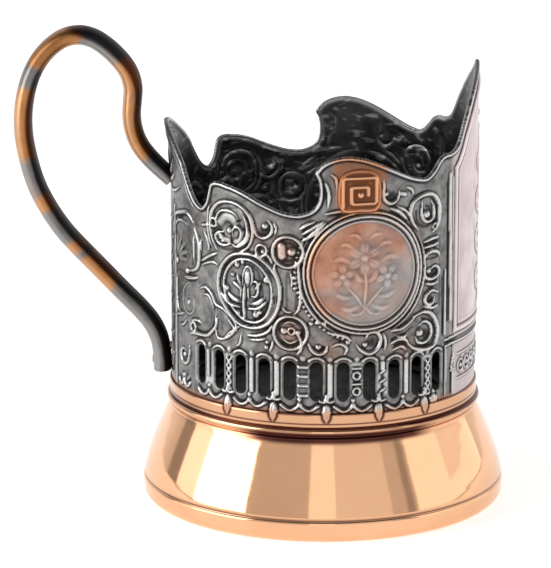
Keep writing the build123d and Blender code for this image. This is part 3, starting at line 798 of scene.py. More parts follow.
# --- handle-side peak: an ogee line and a palmette
line([(-146.5, 71.6), (-151.0, 74.2), (-156.0, 78.4), (-161.5, 81.0), (-168.0, 83.3), (-180.0, 85.2)], 0.26, 0.28)
for a in (-64, -32, 0, 32, 64):
    px, py = at(-180, 76.5)
    cv.leaf([(px, py), (px + 1.6 * math.sin(a * DEG), py + 2.2 * math.cos(a * DEG)),
             (px + 3.2 * math.sin(a * DEG), py + 5.6 * math.cos(a * DEG))], 0.85, 0.42)
cv.leaf([at(-173.6, 76.0), at(-169.6, 77.2), at(-165.4, 80.4)], 0.9, 0.42)
cv.leaf([at(-173.2, 75.2), at(-168.0, 75.4), at(-162.2, 77.6)], 0.8, 0.4)
line([(-171.8, 74.4), (-166.0, 73.0), (-159.6, 74.0), (-155.4, 75.6)], 0.32, 0.38, taper=[0.3, 1, 1, 0.2])

# --- slots: thin borders, hoods and posts of several kinds
near_slots = (V > 28.6) & (V < 43.0)
border = np.exp(-((f_slot - 0.3) / 0.18) ** 2) * 0.09
cv.h = np.where(near_slots & (f_slot > 0), np.maximum(cv.h, border), cv.h)
posts = [(SLOT_PHI[i] + SLOT_PHI[i + 1]) / 2 for i in range(10)]
POST_KIND = ["chain", "plain", "beads", "links", "plain", "rungs", "plain", "plain", "chain", "bar"]
for kind, p in zip(POST_KIND, posts):
    x, up = -p * PER_DEG, rise(p)
    if kind == "chain":
        for z in (32.4, 34.2, 36.0, 37.8):
            z += up
            cv.stroke([(x - 0.62, z - 0.9), (x + 0.62, z + 0.9)], 0.24, 0.42)
            cv.stroke([(x + 0.62, z - 0.9), (x - 0.62, z + 0.9)], 0.24, 0.42)
            dark.ball(x, z + 0.9, 0.5, 0.9)
            dark.ball(x - 0.7, z, 0.4, 0.8)
            dark.ball(x + 0.7, z, 0.4, 0.8)
    elif kind == "plain":
        cv.stroke([(x, 32.2 + up), (x, 39.2 + up)], 0.62, 0.3, "flat")
        for sgn in (-1, 1):
            dark.stroke([(x + 0.84 * sgn, 31.8 + up), (x + 0.84 * sgn, 39.4 + up)], 0.24, 0.75, "soft")
    elif kind == "beads":
        for z in (32.9, 35.0, 37.1):
            cv.leaf([(x - 0.75, z + up - 0.2), (x, z + up + 0.35), (x + 0.75, z + up + 0.7)], 0.5, 0.5, vein=False)
            dark.ball(x, z + up - 0.75, 0.55, 0.75)
        cv.stroke([(x, 38.2 + up), (x, 39.4 + up)], 0.6, 0.3, "flat")
    elif kind == "links":
        for z in (33.2, 36.8):
            cv.ring(x, z + up, 0.8, 0.24, 0.42)
            dark.ball(x, z + up, 0.42, 0.9)
            cv.stroke([(x - 0.9, z + up + 1.7), (x + 0.9, z + up + 1.7)], 0.27, 0.42)
            dark.stroke([(x - 0.9, z + up + 1.15), (x + 0.9, z + up + 1.15)], 0.22, 0.75, "soft")
    elif kind == "bar":
        cv.stroke([(x - 0.35, 33.6 + up), (x - 0.35, 39.2 + up)], 0.32, 0.44)
        dark.stroke([(x + 0.3, 33.0 + up), (x + 0.3, 39.2 + up)], 0.3, 0.8, "soft")
    else:
        for z in (32.2, 34.4, 36.6, 38.7):
            cv.stroke([(x - 0.95, z + up), (x + 0.95, z + up)], 0.42, 0.4)
            dark.stroke([(x - 0.95, z + up + 1.1), (x + 0.95, z + up + 1.1)], 0.45, 0.6, "soft")
    cv.ball(x, 40.6 + up, 0.8, 0.2)
for p in SLOT_PHI:
    cv.stroke(arc(-p * PER_DEG, 38.6 + rise(p), 2.2, 40, 140, ry=2.25), 0.3, 0.3)
    dark.stroke(arc(-p * PER_DEG, 38.7 + rise(p), 2.85, 30, 150, ry=2.7), 0.3, 0.55, "soft")

# --- lace of ribbons and pendants under the slots, the pendants hanging over the collar
pend = [127.4, 108.4, 88.7, 69.2, 49.6]
hang = np.zeros_like(cv.h)
for p in pend:
    x, up = -p * PER_DEG, rise(p) - 0.1
    cv.ball(x, 32.3 + up, 0.42, 0.5)
    cv.ball(x, 31.4 + up, 0.6, 0.6)
    for sgn in (-1, 1):
        cv.leaf([(x, 30.8 + up), (x + 1.0 * sgn, 30.9 + up), (x + 1.9 * sgn, 31.3 + up)], 0.42, 0.5, vein=False)
        dark.ball(x + 1.15 * sgn, 30.4 + up, 0.55, 0.95)
        dark.ball(x + 0.8 * sgn, 28.9 + up, 0.5, 0.95)
    keep = cv.h
    cv.h = hang
    cv.leaf([(x, 30.2 + up), (x, 28.3), (x, 25.95)], 1.45, 0.86)
    hang, cv.h = cv.h, keep
cv.h = np.maximum(cv.h, hang)
ends = [161.2, 146.0] + pend + [40.6]
for a, b in zip(ends[:-1], ends[1:]):
    xa, xb = -a * PER_DEG, -b * PER_DEG
    xm, up = (xa + xb) / 2, rise((a + b) / 2)
    for x0, x1, z0, z1 in ((xa + 1.8, xm, 29.8, 29.9), (xm, xb - 1.8, 29.9, 29.8)):
        q = (x1 - x0)
        cv.stroke(smooth([(x0, z0 + up), (x0 + 0.33 * q, 28.85 + up), (x0 + 0.66 * q, 28.85 + up), (x1, z1 + up)], 8), 0.36, 0.48)
        dark.stroke(smooth([(x0, z0 + up + 0.75), (x0 + 0.33 * q, 29.65 + up), (x0 + 0.66 * q, 29.65 + up), (x1, z1 + up + 0.75)], 8),
                    0.42, 0.9, "soft")
    cv.ball(xm, 30.0 + up, 0.62, 0.52)
    cv.ball(xm, 31.2 + up, 0.5, 0.46)
dark.stroke([(-161 * PER_DEG, 28.2), (-40 * PER_DEG, 28.0)], 0.3, 0.7, "soft")

# --- front panel: double frame, palmette and strip below it
draw(B, [(772, 128), (770, 220), (771, 330), (775, 520), (778, 800)], 0.34, 0.46, None)
draw(B, [(798, 150), (797, 330), (800, 560), (803, 800)], 0.22, 0.3, None)
ink(B, [(756, 170), (756, 500), (758, 800)], 0.32, 0.9)
ink(B, [(785, 170), (786, 500), (790, 800)], 0.22, 0.8)
draw(B, [(737, 560), (738, 700), (740, 860)], 0.26, 0.36, None)
ink(B, [(719, 590), (722, 720), (724, 862)], 0.3, 0.85)
line([(-39.0, 41.6), (-30, 42.0), (-15, 42.0), (0, 42.0)], 0.26, 0.36)
line([(-38.4, 40.2), (-30, 40.4), (-15, 40.4), (0, 40.4)], 0.26, 0.36)
dark.stroke(polar([(-39.0, 40.9), (-30, 41.2), (0, 41.2)]), 0.3, 0.85, "soft")
line([(-33.5, 28.6), (-33.5, 34.4)], 0.34, 0.4)
dark.stroke(polar([(-34.9, 28.6), (-34.9, 34.0)]), 0.4, 0.85, "soft")
line([(-34.9, 34.0), (-34.2, 36.0), (-33.5, 37.9)], 0.3, 0.42)
line([(-32.1, 34.0), (-32.8, 36.0), (-33.5, 37.9)], 0.3, 0.42)
line([(-33.5, 37.9), (-33.5, 40.4)], 0.24, 0.34)
line([(-38.6, 28.6), (-38.6, 40.2)], 0.28, 0.34)
for k in range(6):
    px, py = at(-27.5 + 5.5 * k, 34.4)
    cv.ring(px, py, 1.4, 0.26, 0.36)
    cv.ball(px, py, 0.55, 0.42)
line([(-30.6, 31.6), (0, 31.6)], 0.24, 0.3)
line([(-30.6, 37.2), (0, 37.2)], 0.24, 0.3)

# --- clear the ground under the applied plates
def keep_out(inside_dist):
    return step01(inside_dist, -0.05, 0.5)


med_d = np.hypot(S - MX, V - MY) - MEDAL_R
cv.h *= keep_out(med_d)
dark.h *= keep_out(med_d)
CREST_PHI = -76.8
CX, CY = at(CREST_PHI, 78.5)
crest_half = [(0, 73.7), (3.2, 73.7), (4.4, 74.6), (4.9, 76.4), (4.7, 80.2), (3.9, 82.0), (2.4, 82.9), (0, 83.3)]
crest_outline = np.array(crest_half + [(-x, z) for x, z in crest_half[-2:0:-1]], float)
crest_poly = smooth(crest_outline, 6, closed=True) + np.array([CX, 0])
crest_in = within(cv, crest_poly)
crest_dist = cv.distance(np.vstack([crest_poly, crest_poly[:1]]), 3.0)
crest_dist = np.where(np.isfinite(crest_dist), crest_dist, 3.0)
cv.h *= keep_out(np.where(crest_in, -crest_dist, crest_dist))
dark.h *= keep_out(np.where(crest_in, -crest_dist, crest_dist))
plaque_half = [(33.5, 42.6), (33.5, 80.6), (31.0, 82.0), (28.0, 84.3), (25.0, 87.2), (20.0, 90.6),
               (15.0, 93.4), (10.0, 95.4), (5.0, 97.0), (0.0, 98.6)]
plq = np.array([(-p * PER_DEG, z) for p, z in plaque_half] + [(5, 98.6), (5, 42.6)])
plq_in = within(cv, plq)
plq_dist = cv.distance(np.vstack([plq, plq[:1]]), 3.0)
plq_dist = np.where(np.isfinite(plq_dist), plq_dist, 3.0)
cv.h *= keep_out(np.where(plq_in, -plq_dist, plq_dist))
dark.h *= keep_out(np.where(plq_in, -plq_dist, plq_dist))

# --- rim: a thin rolled edge with a fine groove inside it
relief = cv.h * step01(f_rim, 0.7, 1.5)
relief += 0.36 * np.exp(-((f_rim - 0.3) / 0.27) ** 2) * (f_rim > -1)
relief -= 0.1 * np.exp(-((f_rim - 0.95) / 0.2) ** 2)
patina = dark.h * step01(f_rim, 0.7, 1.5)

# whole ring from the half
n_half = cv.ns - 1
NS = 2 * n_half


def whole(a):
    return np.concatenate([a[:, :n_half], a[:, n_half:0:-1]], 1)


full_s = np.concatenate([cv.s[:n_half], -cv.s[n_half:0:-1]])
PERIOD = 360 * PER_DEG
H = whole(relief)
INK = whole(patina)
F = whole(f_wall)
FR = whole(f_rim)
VV = np.repeat(cv.v[:, None], NS, 1)
PH = np.repeat((full_s / PER_DEG)[None, :], cv.nv, 0)
# chased outline: the ground sinks a little along every raised line
close = blur(np.clip(H / 0.3, 0, 1), 0.42 / STEP, True)
groove = close * (1 - step01(H, 0.04, 0.2))
H = H - 0.16 * groove - 0.08 * INK * (1 - step01(H, 0.05, 0.25))
H = blur(H, 0.08 / STEP + 0.3, True)
soft = blur(H, 0.5 / STEP, True)
cavity = np.clip(1.45 * step01(groove, 0.06, 0.42) + INK * (1 - step01(H, 0.08, 0.3)), 0, 1)
ridge = np.clip(step01(H, 0.08, 0.3) * 0.85 + step01(H - soft, 0.03, 0.16) * 0.35, 0, 1)
cavity = np.clip(cavity + 0.7 * np.exp(-((FR - 0.95) / 0.25) ** 2), 0, 1) * (1 - step01(ridge, 0.3, 0.7))
# the posts between the slots are rubbed lighter than the wall
FS = whole(f_slot)
post = step01(FS, 0.1, 0.4) * (FS < 2.2) * step01(VV, 31.4, 32.4) * step01(40.4 - VV, 0.0, 1.6) * step01(146 - np.abs(PH), 0, 2)
ridge = np.maximum(ridge, 0.86 * post * (1 - cavity))
lobe = step01(12.0 - np.abs(np.abs(PH) - 76.6), 0, 5.5) * step01(VV, 79.5, 81.8)
cavity = np.maximum(cavity, 0.3 * lobe * (1 - step01(ridge, 0.3, 0.7)) * step01(FR, 0.7, 1.2))
for phi0, z0, rp, rz, amount in ((104.5, 58, 5.5, 14, 0.13), (119, 54.5, 12, 8, 0.07), (57, 74, 8, 4, 0.08)):
    rub = step01(1.25 - np.hypot((np.abs(PH) - phi0) / rp, (VV - z0) / rz), 0.0, 0.5)
    ridge = np.maximum(ridge, amount * rub * (1 - cavity))
rimlit = np.exp(-((FR - 0.1) / 0.55) ** 2)
H = 1.22 * H
med_full = np.hypot(np.abs(PH) * PER_DEG + MX, VV - MY)
def glow(phi, z, rp, rz, amount):
    return amount * np.exp(-((np.abs(PH) - phi) / rp) ** 2 - ((VV - z) / rz) ** 2)


warm = np.clip(np.exp(-((med_full - 13.6) / 2.2) ** 2) * 0.15
               + step01(29.6 - VV, 0.0, 1.6) * 0.9
               + step01(12.0 - np.abs(np.abs(PH) - 76.6), 0, 6.0) * step01(VV, 69.8, 73.2) * 0.8 + lobe + glow(104, 65, 4, 3.5, 0.6) + glow(102, 46.5, 5, 4.5, 0.5)
               + glow(116, 68, 4, 3, 0.3) + glow(88, 42, 6, 3, 0.4) + glow(60, 42, 5, 3, 0.3), 0, 1)
pale = step01(34.5 - np.abs(PH), -2.0, 2.0)
# how strongly painted glints and painted light show on the inside, round the ring; the tip by the handle leans out a
# little
inside_painted_glints = np.interp(np.abs(PH), [0, 30, 42, 146, 160, 180], [0.3, 0.3, 1.0, 1.0, 0.35, 0.35])
inside_painted_light = np.interp(np.abs(PH), [0, 45, 65, 95, 130, 180], [0.0, 0.1, 0.3, 0.8, 1.0, 1.0])
lean = 1.3 * step01(VV, 76.0, 90.5) * np.exp(-((180 - np.abs(PH)) / 22.0) ** 2)
# the relief shows through on the inside, hardly at all by the handle
show = np.interp(np.abs(PH), [150, 164], [0.62, 0.12])
sleeve = relief_shell(
    "sleeve_relief", full_s, cv.v, F, R_OUT + H + lean, R_IN + show * np.clip(blur(H, 0.3 / STEP, True), -0.1, None) + lean,
    {"patina_and_shade": cavity, "ridge": np.clip(ridge, 0, 1), "warm": warm, "pale": pale, "rimlit": rimlit, "inside_painted_light": inside_painted_light, "inside_painted_glints": inside_painted_glints}, period=PERIOD, bulge=0.22)
# the in-turned lip at the bottom
lip = revolve("sleeve_lip", [(27.0, 23.5), (34.05, 23.5), (34.05, 24.22), (33.9, 24.3), (27.25, 24.3), (27.0, 24.05)], 180,
              {"patina_and_shade": [0.4] * 6, "ridge": [0.0, 0, 0, 0.1, 0.3, 0.2], "inside": [1] * 6, "warm": [0] * 6,
               "pale": [0] * 6, "rimlit": [0] * 6, "edge": [0] * 6, "inside_painted_light": [0] * 6, "inside_painted_glints": [0.3] * 6})


# ===================================================================== applied plates
def plate(name, canvas, f, thick, centre_phi, attrs, mirror=False, bulge=0.1, r0=R_OUT):
    """A relief plate lying on the wall, its local grid centred on an angle."""
    shift = centre_phi * PER_DEG

    def turn(verts):
        return verts
    return relief_shell(name, canvas.s + shift, canvas.v, f, r0 + thick, np.full_like(f, r0 + 0.02), attrs,
                        mirror=mirror, bulge=bulge, rings=2)


def shade(h, step):
    soft_ = blur(h, 0.55 / step)
    wide_ = blur(h, 1.4 / step)
    patina_and_shade = np.clip(step01(soft_ - h, 0.012, 0.1) * 0.85 + step01(wide_ - h, 0.02, 0.14) * 0.3, 0, 1)
    rid = np.clip(step01(h - soft_, 0.02, 0.14) * 0.7 + step01(h, 0.3, 0.6) * 0.4, 0, 1)
    return patina_and_shade, rid


# --- medallion: thin double border and a generic spray of three flowers
md = Canvas(-14.2, 14.2, MEDAL_Z - 13.8, MEDAL_Z + 13.8, FINE)
ms, mv = md.grid()
mz = mv - MEDAL_Z
mr = np.hypot(ms, mz)


def mline(points, w=0.3, h=0.26, taper=(0.5, 1, 1, 0.5)):
    md.stroke(smooth([(x, MEDAL_Z + z) for x, z in points], 8), w, h, "round", taper)


def mleaf(points, w, h=0.3, vein=True):
    md.leaf([(x, MEDAL_Z + z) for x, z in points], w, h, vein)


def bloom(x, z, r, petals, turn=0.0):
    for k in range(petals):
        a = (k * 360.0 / petals + turn) * DEG
        mleaf([(x + 0.2 * r * math.cos(a), z + 0.2 * r * math.sin(a)), (x + 0.6 * r * math.cos(a), z + 0.6 * r * math.sin(a)),
               (x + r * math.cos(a), z + r * math.sin(a))], 0.42 * r, 0.32)
    md.ball(x, MEDAL_Z + z, 0.3 * r, 0.4)


bloom(-0.3, 3.4, 3.4, 6, 30)
bloom(-5.2, -0.6, 2.6, 5, 18)
bloom(5.0, -0.9, 2.6, 5, 54)
mline([(-0.2, 0.4), (0.0, -3.2), (-0.4, -7.8)], 0.34)
mline([(-4.2, -3.0), (-2.4, -5.0), (-0.6, -7.6)], 0.3)
mline([(4.0, -3.3), (2.2, -5.2), (0.0, -7.6)], 0.3)
for sgn in (-1, 1):
    mleaf([(0.4 * sgn, -2.0), (1.7 * sgn, -1.2), (2.6 * sgn, 0.6)], 0.8)
    mleaf([(2.6 * sgn, -5.4), (5.0 * sgn, -5.4), (7.2 * sgn, -4.2)], 0.85)
    mleaf([(1.2 * sgn, -7.2), (3.6 * sgn, -8.2), (5.8 * sgn, -7.6)], 0.8)
    mleaf([(3.4 * sgn, 2.4), (5.4 * sgn, 3.4), (7.8 * sgn, 2.8)], 0.85)
    mleaf([(2.6 * sgn, 5.6), (4.4 * sgn, 6.6), (6.2 * sgn, 6.2)], 0.75)
    mleaf([(0.8 * sgn, 7.4), (2.2 * sgn, 8.6), (4.0 * sgn, 8.6)], 0.65)
    mline([(0.0, -7.8), (1.0 * sgn, -9.0), (2.6 * sgn, -9.4), (3.4 * sgn, -9.0)], 0.26)
md.h *= step01(11.3 - mr, 0.0, 0.8)
md.ring(0, MEDAL_Z, 12.72, 0.34, 0.56)
md.ring(0, MEDAL_Z, 11.72, 0.2, 0.24)
md_h = blur(md.h, 0.55)
field = 0.26 + 0.1 * np.clip(1 - (mr / 11) ** 2, 0, 1)
patina_and_shade, rid = shade(md_h, FINE)
patina_and_shade = np.clip(patina_and_shade * np.where(mr < 11.3, 0.5, 1.0) + 0.9 * np.exp(-((mr - 12.18) / 0.24) ** 2), 0, 1)
rid = np.clip(rid * np.where(mr < 11.3, 0.75, 1.0) + 0.9 * np.exp(-((mr - 12.72) / 0.3) ** 2), 0, 1)
silver = np.clip(0.46 + 0.045 * ms - 0.034 * mz, 0.02, 0.88)
# the border is worn to silver, except towards the handle
border = step01(mr, 11.2, 11.6)
silver = silver * (1 - border) + (0.1 + 1.25 * step01(ms, -10.5, -6.0)) * border
medals = []
for nm, flip in (("medallion_right", False), ("medallion_left", True)):
    medals.append(plate(nm + "_relief", md, MEDAL_R - mr, field + md_h, MEDAL_PHI,
                        {"patina_and_shade": patina_and_shade, "ridge": rid, "silver": silver, "deep": np.zeros_like(mr)}, mirror=flip))

# --- crest: squared scroll in a shaped frame
cr = Canvas(-5.6, 5.6, 73.0, 84.0, FINE)
cs, cz = cr.grid()
cpoly = smooth(crest_outline, 6, closed=True)
c_in = within(cr, cpoly)
c_dist = cr.distance(np.vstack([cpoly, cpoly[:1]]), 20.0)
fc = np.where(c_in, c_dist, -c_dist)
cr.h = 0.26 * np.exp(-((fc - 0.36) / 0.24) ** 2)
cr.stroke([(-3.75, 74.9), (-3.75, 80.9), (-3.3, 81.35), (3.3, 81.35), (3.75, 80.9), (3.75, 76.0), (3.3, 75.6), (-1.5, 75.6),
           (-1.9, 76.0), (-1.9, 78.9), (-1.5, 79.3), (1.5, 79.3), (1.9, 78.9), (1.9, 77.5)], 0.44, 0.46)
cr.ball(0.2, 77.5, 0.7, 0.5)
cr.leaf([(-2.4, 82.4), (0, 82.7), (2.4, 82.4)], 0.34, 0.32, vein=False)
cr_h = blur(cr.h, 0.5)
patina_and_shade, rid = shade(cr_h, FINE)
top = step01(cz, 81.5, 82.3)
patina_and_shade, rid = np.clip(patina_and_shade + 0.3 * top, 0, 1), rid * (1 - 0.7 * top)
crests = []
for nm, flip in (("crest_right", False), ("crest_left", True)):
    crests.append(plate(nm + "_relief", cr, fc, 0.22 + cr_h, CREST_PHI,
                        {"patina_and_shade": patina_and_shade, "ridge": rid, "silver": np.full_like(fc, 0.12), "deep": np.ones_like(fc)}, mirror=flip))

# --- front plaque: frame and a tall traditional sprig, half drawn and mirrored
PSTEP = FINE * 1.3
ph = Canvas(-34.2 * PER_DEG, 0, 42.2, 99.2, 34.2 * PER_DEG / int(34.2 * PER_DEG / PSTEP))
ps, pz = ph.grid()
half_p = np.array([(-p * PER_DEG, z) for p, z in plaque_half])
poly_p = np.vstack([half_p, [[6, 98.6], [6, 42.6]]])
p_in = within(ph, poly_p)
edge_p = np.vstack([[[6, 42.6]], half_p, [[6, 99.5]]]) if False else np.vstack([[[0, 42.6]], half_p])
p_dist = ph.distance(edge_p, 80.0)
fp = np.where(p_in, p_dist, -p_dist)
ph.h = 0.4 * np.exp(-((fp - 0.7) / 0.4) ** 2) + 0.2 * np.exp(-((fp - 2.1) / 0.25) ** 2)


def pl(points, w, h, taper=None, kind="round"):
    ph.stroke(smooth(points, 8), w, h, kind, taper)


pl([(0, 46.5), (0, 86.5)], 0.5, 0.34)
for z, r in ((52.5, 3.0), (61.5, 3.4), (70.5, 3.0)):
    ph.volute(-4.3, z, r, -60, -430, w=0.5, h=0.36, end=0.26, ball=0.8)
    pl([(0, z - 4.6), (-1.4, z - 3.9), (-2.8, z - 2.6)], 0.45, 0.34, taper=[1, 1, 0.8])
    ph.leaf([(-0.3, z - 1.0), (-1.6, z + 1.2), (-2.6, z + 4.6)], 0.85, 0.34)
    ph.leaf([(-6.6, z + 2.0), (-8.3, z + 3.2), (-9.0, z + 5.4)], 0.8, 0.32)
for a in (-68, -34, 0):
    ph.leaf([(0, 79.0), (2.2 * math.sin(a * DEG), 79 + 2.9 * math.cos(a * DEG)),
             (4.4 * math.sin(a * DEG), 79 + 8.0 * math.cos(a * DEG))], 1.15, 0.38)
ph.ball(0, 89.4, 0.8, 0.4)
pl([(-0.4, 78.6), (-2.6, 76.9), (-5.0, 77.6), (-5.8, 79.6), (-4.6, 80.9)], 0.45, 0.36, taper=[0.6, 1, 1, 0.8])
pl([(0, 46.2), (-3.2, 46.6), (-5.4, 45.6)], 0.5, 0.36, taper=[1, 1, 0.4])
pp_h = np.concatenate([ph.h[:, :-1], ph.h[:, ::-1]], 1)
pp_f = np.concatenate([fp[:, :-1], fp[:, ::-1]], 1)
pp = Canvas(ph.s[0], -ph.s[0], 42.2, 99.2, ph.ds)
pp_h = blur(pp_h, 0.5)
patina_and_shade, rid = shade(pp_h, PSTEP)
patina_and_shade = np.clip(patina_and_shade + 0.5 * np.exp(-((pp_f - 1.5) / 0.25) ** 2), 0, 1)
pp_s = np.concatenate([ph.s[:-1], -ph.s[::-1]])
plaque = relief_shell("front_plaque_relief", pp_s, ph.v, pp_f, R_OUT + 0.22 + pp_h, np.full_like(pp_f, R_OUT + 0.02),
                      {"patina_and_shade": patina_and_shade, "ridge": rid}, bulge=0.1, rings=2)


# ============================================================================ foot
def arc_pts(cr_, cz_, r, a0, a1, n):
    a = np.linspace(a0, a1, n) * DEG
    return [(cr_ + r * math.cos(t), cz_ + r * math.sin(t)) for t in a]


flare = smooth([(35.3, 21.95), (35.68, 21.1), (36.28, 19.8), (37.13, 17.8), (37.96, 15.8), (38.76, 13.8), (39.52, 11.8),
                (40.07, 10.2), (40.5, 8.8), (40.87, 7.4), (41.15, 6.2), (41.24, 5.75)], 5)
foot_out = [(28.0, 22.5), (34.3, 22.5)] + arc_pts(34.75, 21.95, 0.55, 90, 4, 6) + [tuple(p) for p in flare]
foot_out += [(41.17, 5.35), (41.08, 5.15), (41.1, 4.95), (41.3, 4.8), (41.46, 4.6), (41.5, 4.3), (41.5, 3.2), (41.48, 2.3)]
foot_out += arc_pts(39.4, 2.1, 2.1, -6, -90, 12)
foot_out += arc_pts(39.3, 0.6, 0.6, -100, -180, 5) + [(38.7, 2.0), (38.7, 3.1), (38.85, 3.5), (39.3, 3.65), (40.2, 3.7)]
inner_flare = [(r - 0.95, z) for r, z in reversed([tuple(p) for p in flare[::2]])]
foot_out += [(40.25, 4.5)] + inner_flare[1:] + [(34.0, 21.5), (31.0, 21.5), (28.0, 21.5)]


def spun(ring_, p, t):
    """Hand-polished sheet: waves far too small to see except in reflections."""
    z = p[:, 1][:, None]
    k = step01(z, 5.5, 8.0) * step01(21.5 - z, 0.0, 3.0)
    w = 0.012 * np.sin(3 * t + 0.7) + 0.006 * np.sin(7 * t + 2.1 + z * 0.15) + 0.002 * np.sin(z * 2.1)
    out = ring_.copy()
    out[..., 0] += k * w * np.cos(t)
    out[..., 1] += k * w * np.sin(t)
    return out


foot_arr = np.array(foot_out)
# a dark line in the lip crease, and painted shade on the neck top under the collar bead
foot_crease_and_shade = np.zeros(len(foot_arr))
foot_crease_and_shade += np.exp(-((foot_arr[:, 1] - 5.15) / 0.22) ** 2) * (foot_arr[:, 0] > 40.9)
neck_shade = step01(foot_arr[:, 1], 20.7, 21.7) * (foot_arr[:, 0] > 34.5)


def round_deg(count):
    return (np.arange(count) * 360.0 / count + 180) % 360 - 180


def bead_shade_weight(phi):
    """Weight of the painted shade under the collar bead: 1 on the two broad sides, less towards handle and front."""
    return 0.12 + 0.88 * step01(42 - np.abs(np.abs(phi) - 84), 0, 14)


foot_crease_and_shade = np.clip(foot_crease_and_shade[:, None] + neck_shade[:, None] * bead_shade_weight(round_deg(288))[None, :], 0, 1)
under = np.zeros(len(foot_arr))
k0 = next(i for i, p in enumerate(foot_out) if p[1] < 0.01)
under[k0 + 1:] = 1.0
foot = revolve("foot_spun", foot_arr[::-1], 288, {"patina_and_shade": foot_crease_and_shade[::-1], "under": under[::-1]}, wobble=spun)

# =========================================================================== collar
collar_pts = [(34.82, 22.55), (35.05, 22.55), (35.1, 22.75), (35.1, 22.9)] + \
    arc_pts(35.15, 23.75, 0.78, -80, 80, 15) + \
    [(35.1, 24.56), (35.06, 24.64), (35.06, 24.74), (35.1, 24.84), (35.25, 24.98), (35.3, 25.15)] + \
    [(35.3, z) for z in np.arange(25.3, 27.6, 0.14)] + [(35.28, 27.65), (35.18, 27.9), (35.02, 28.05), (34.82, 28.08)]
collar_arr = np.array(collar_pts)
COLLAR_N = 960
c_z, c_phi = collar_arr[:, 1][:, None], round_deg(COLLAR_N)[None, :]
# collar darkening: a darker band above the bead, dark lines at the groove above the bead, across the band and at the
# top joint, painted shade under the bead on the broad sides, a painted dark reflection deepening the groove towards the
# front, and darker towards the handle side
collar_lines_and_shade = 0.23 * step01(c_z, 24.8, 25.2) + 1.2 * np.exp(-((c_z - 24.69) / 0.27) ** 2) \
    + step01(24.05 - c_z, 0.0, 0.45) * bead_shade_weight(c_phi) + 0.85 * np.exp(-((c_z - 25.75) / 0.17) ** 2) \
    + 0.75 * np.exp(-((c_z - 28.0) / 0.16) ** 2) \
    + 1.1 * np.exp(-((c_z - 24.4) / 0.44) ** 2) * step01(64 - np.abs(c_phi), 0, 12) \
    + 0.45 * np.exp(-((c_z - 24.9) / 0.9) ** 2) * step01(np.abs(c_phi) - 132, 0, 16) * step01(176 - np.abs(c_phi), 0, 12)
# painted shadows of the hanging pendants on the collar band, beside each pendant
for p in pend:
    off = np.abs((np.abs(c_phi) - p) * PER_DEG)
    half_w = 0.78 * np.interp((30.2 - c_z) / 4.25, [0, 0.25, 0.5, 0.75, 1], [0.15, 0.75, 1, 0.85, 0.12])
    collar_lines_and_shade = collar_lines_and_shade + 1.1 * np.exp(-((off - half_w - 0.24) / 0.34) ** 2) * step01(c_z, 25.7, 26.3) * step01(28.3 - c_z, 0.0, 0.3)
collar = revolve("collar_band", collar_arr, COLLAR_N, {"patina_and_shade": np.clip(collar_lines_and_shade, 0, 1), "under": np.zeros_like(collar_lines_and_shade)})

# =========================================================================== handle
HANDLE_LINE = [(-34.6, 73.7), (-36.77, 75.73), (-39.04, 77.99), (-40.96, 80.25), (-42.4, 82.8),
               (-43.31, 85.84), (-43.56, 88.78), (-43.34, 91.73), (-43.2, 94.67), (-43.91, 97.7),
               (-45.39, 100.23), (-47.34, 102.46), (-49.74, 104.56), (-52.26, 106.05), (-55.07, 106.7),
               (-58.12, 106.22), (-60.67, 104.79), (-62.85, 102.81), (-64.77, 100.28), (-66.11, 97.64),
               (-67.06, 94.83), (-67.76, 91.71), (-68.12, 88.77), (-68.19, 85.8), (-67.98, 82.84),
               (-67.46, 79.68), (-66.8, 76.78), (-65.99, 73.92), (-64.86, 70.93), (-63.54, 68.27),
               (-62.06, 65.69), (-60.3, 63.01), (-58.5, 60.66), (-56.52, 58.43), (-54.32, 56.1),
               (-52.26, 53.96), (-50.21, 51.8), (-48.01, 49.46), (-45.95, 47.31), (-43.87, 45.18),
               (-41.81, 43.04), (-39.8, 40.57), (-38.32, 38.02), (-37.4, 35.23), (-36.99, 32.07),
               (-36.9, 29.1)]
# strap section: out is away from the loop's middle, side is along Y; a softly rounded bar
SEC_N = 44
sec_t = np.arange(SEC_N) * 2 * math.pi / SEC_N
section = np.stack([2.1 * np.sign(np.cos(sec_t)) * np.abs(np.cos(sec_t)) ** 0.86,
                    3.95 * np.sign(np.sin(sec_t)) * np.abs(np.sin(sec_t)) ** 0.86], 1)
sec_n = np.stack([np.cos(sec_t) ** 1 / 2.1, np.sin(sec_t) / 3.95], 1)
sec_n /= np.linalg.norm(sec_n, axis=1)[:, None]
hl = np.array(HANDLE_LINE)
path = smooth(hl, 10)
tan = np.gradient(path, axis=0)
tan /= np.linalg.norm(tan, axis=1)[:, None]
# the loop is walked from the upper joint over the top to the lower end
out_dir = np.stack([tan[:, 1], -tan[:, 0]], 1)
if (path[np.argmax(path[:, 1])] + out_dir[np.argmax(path[:, 1])])[1] < path[:, 1].max():
    out_dir = -out_dir
along = np.r_[0, np.cumsum(np.linalg.norm(np.diff(path, axis=0), axis=1))]
thick = np.interp(along, [0, 8, 25, 45, along[-1] - 14, along[-1] - 6, along[-1]], [0.92, 0.98, 1.04, 1.0, 1.0, 1.0, 1.0])
wide_k = np.interp(along, [0, 6, 30, along[-1] - 10, along[-1]], [0.86, 0.95, 1.0, 1.0, 1.04])
n_p, n_s = len(path), len(section)
verts = np.empty((n_p, n_s, 3))
for k in range(n_s):
    o, w = section[k]
    verts[:, k, 0] = path[:, 0] + out_dir[:, 0] * o * thick
    verts[:, k, 2] = path[:, 1] + out_dir[:, 1] * o * thick
    verts[:, k, 1] = w * wide_k
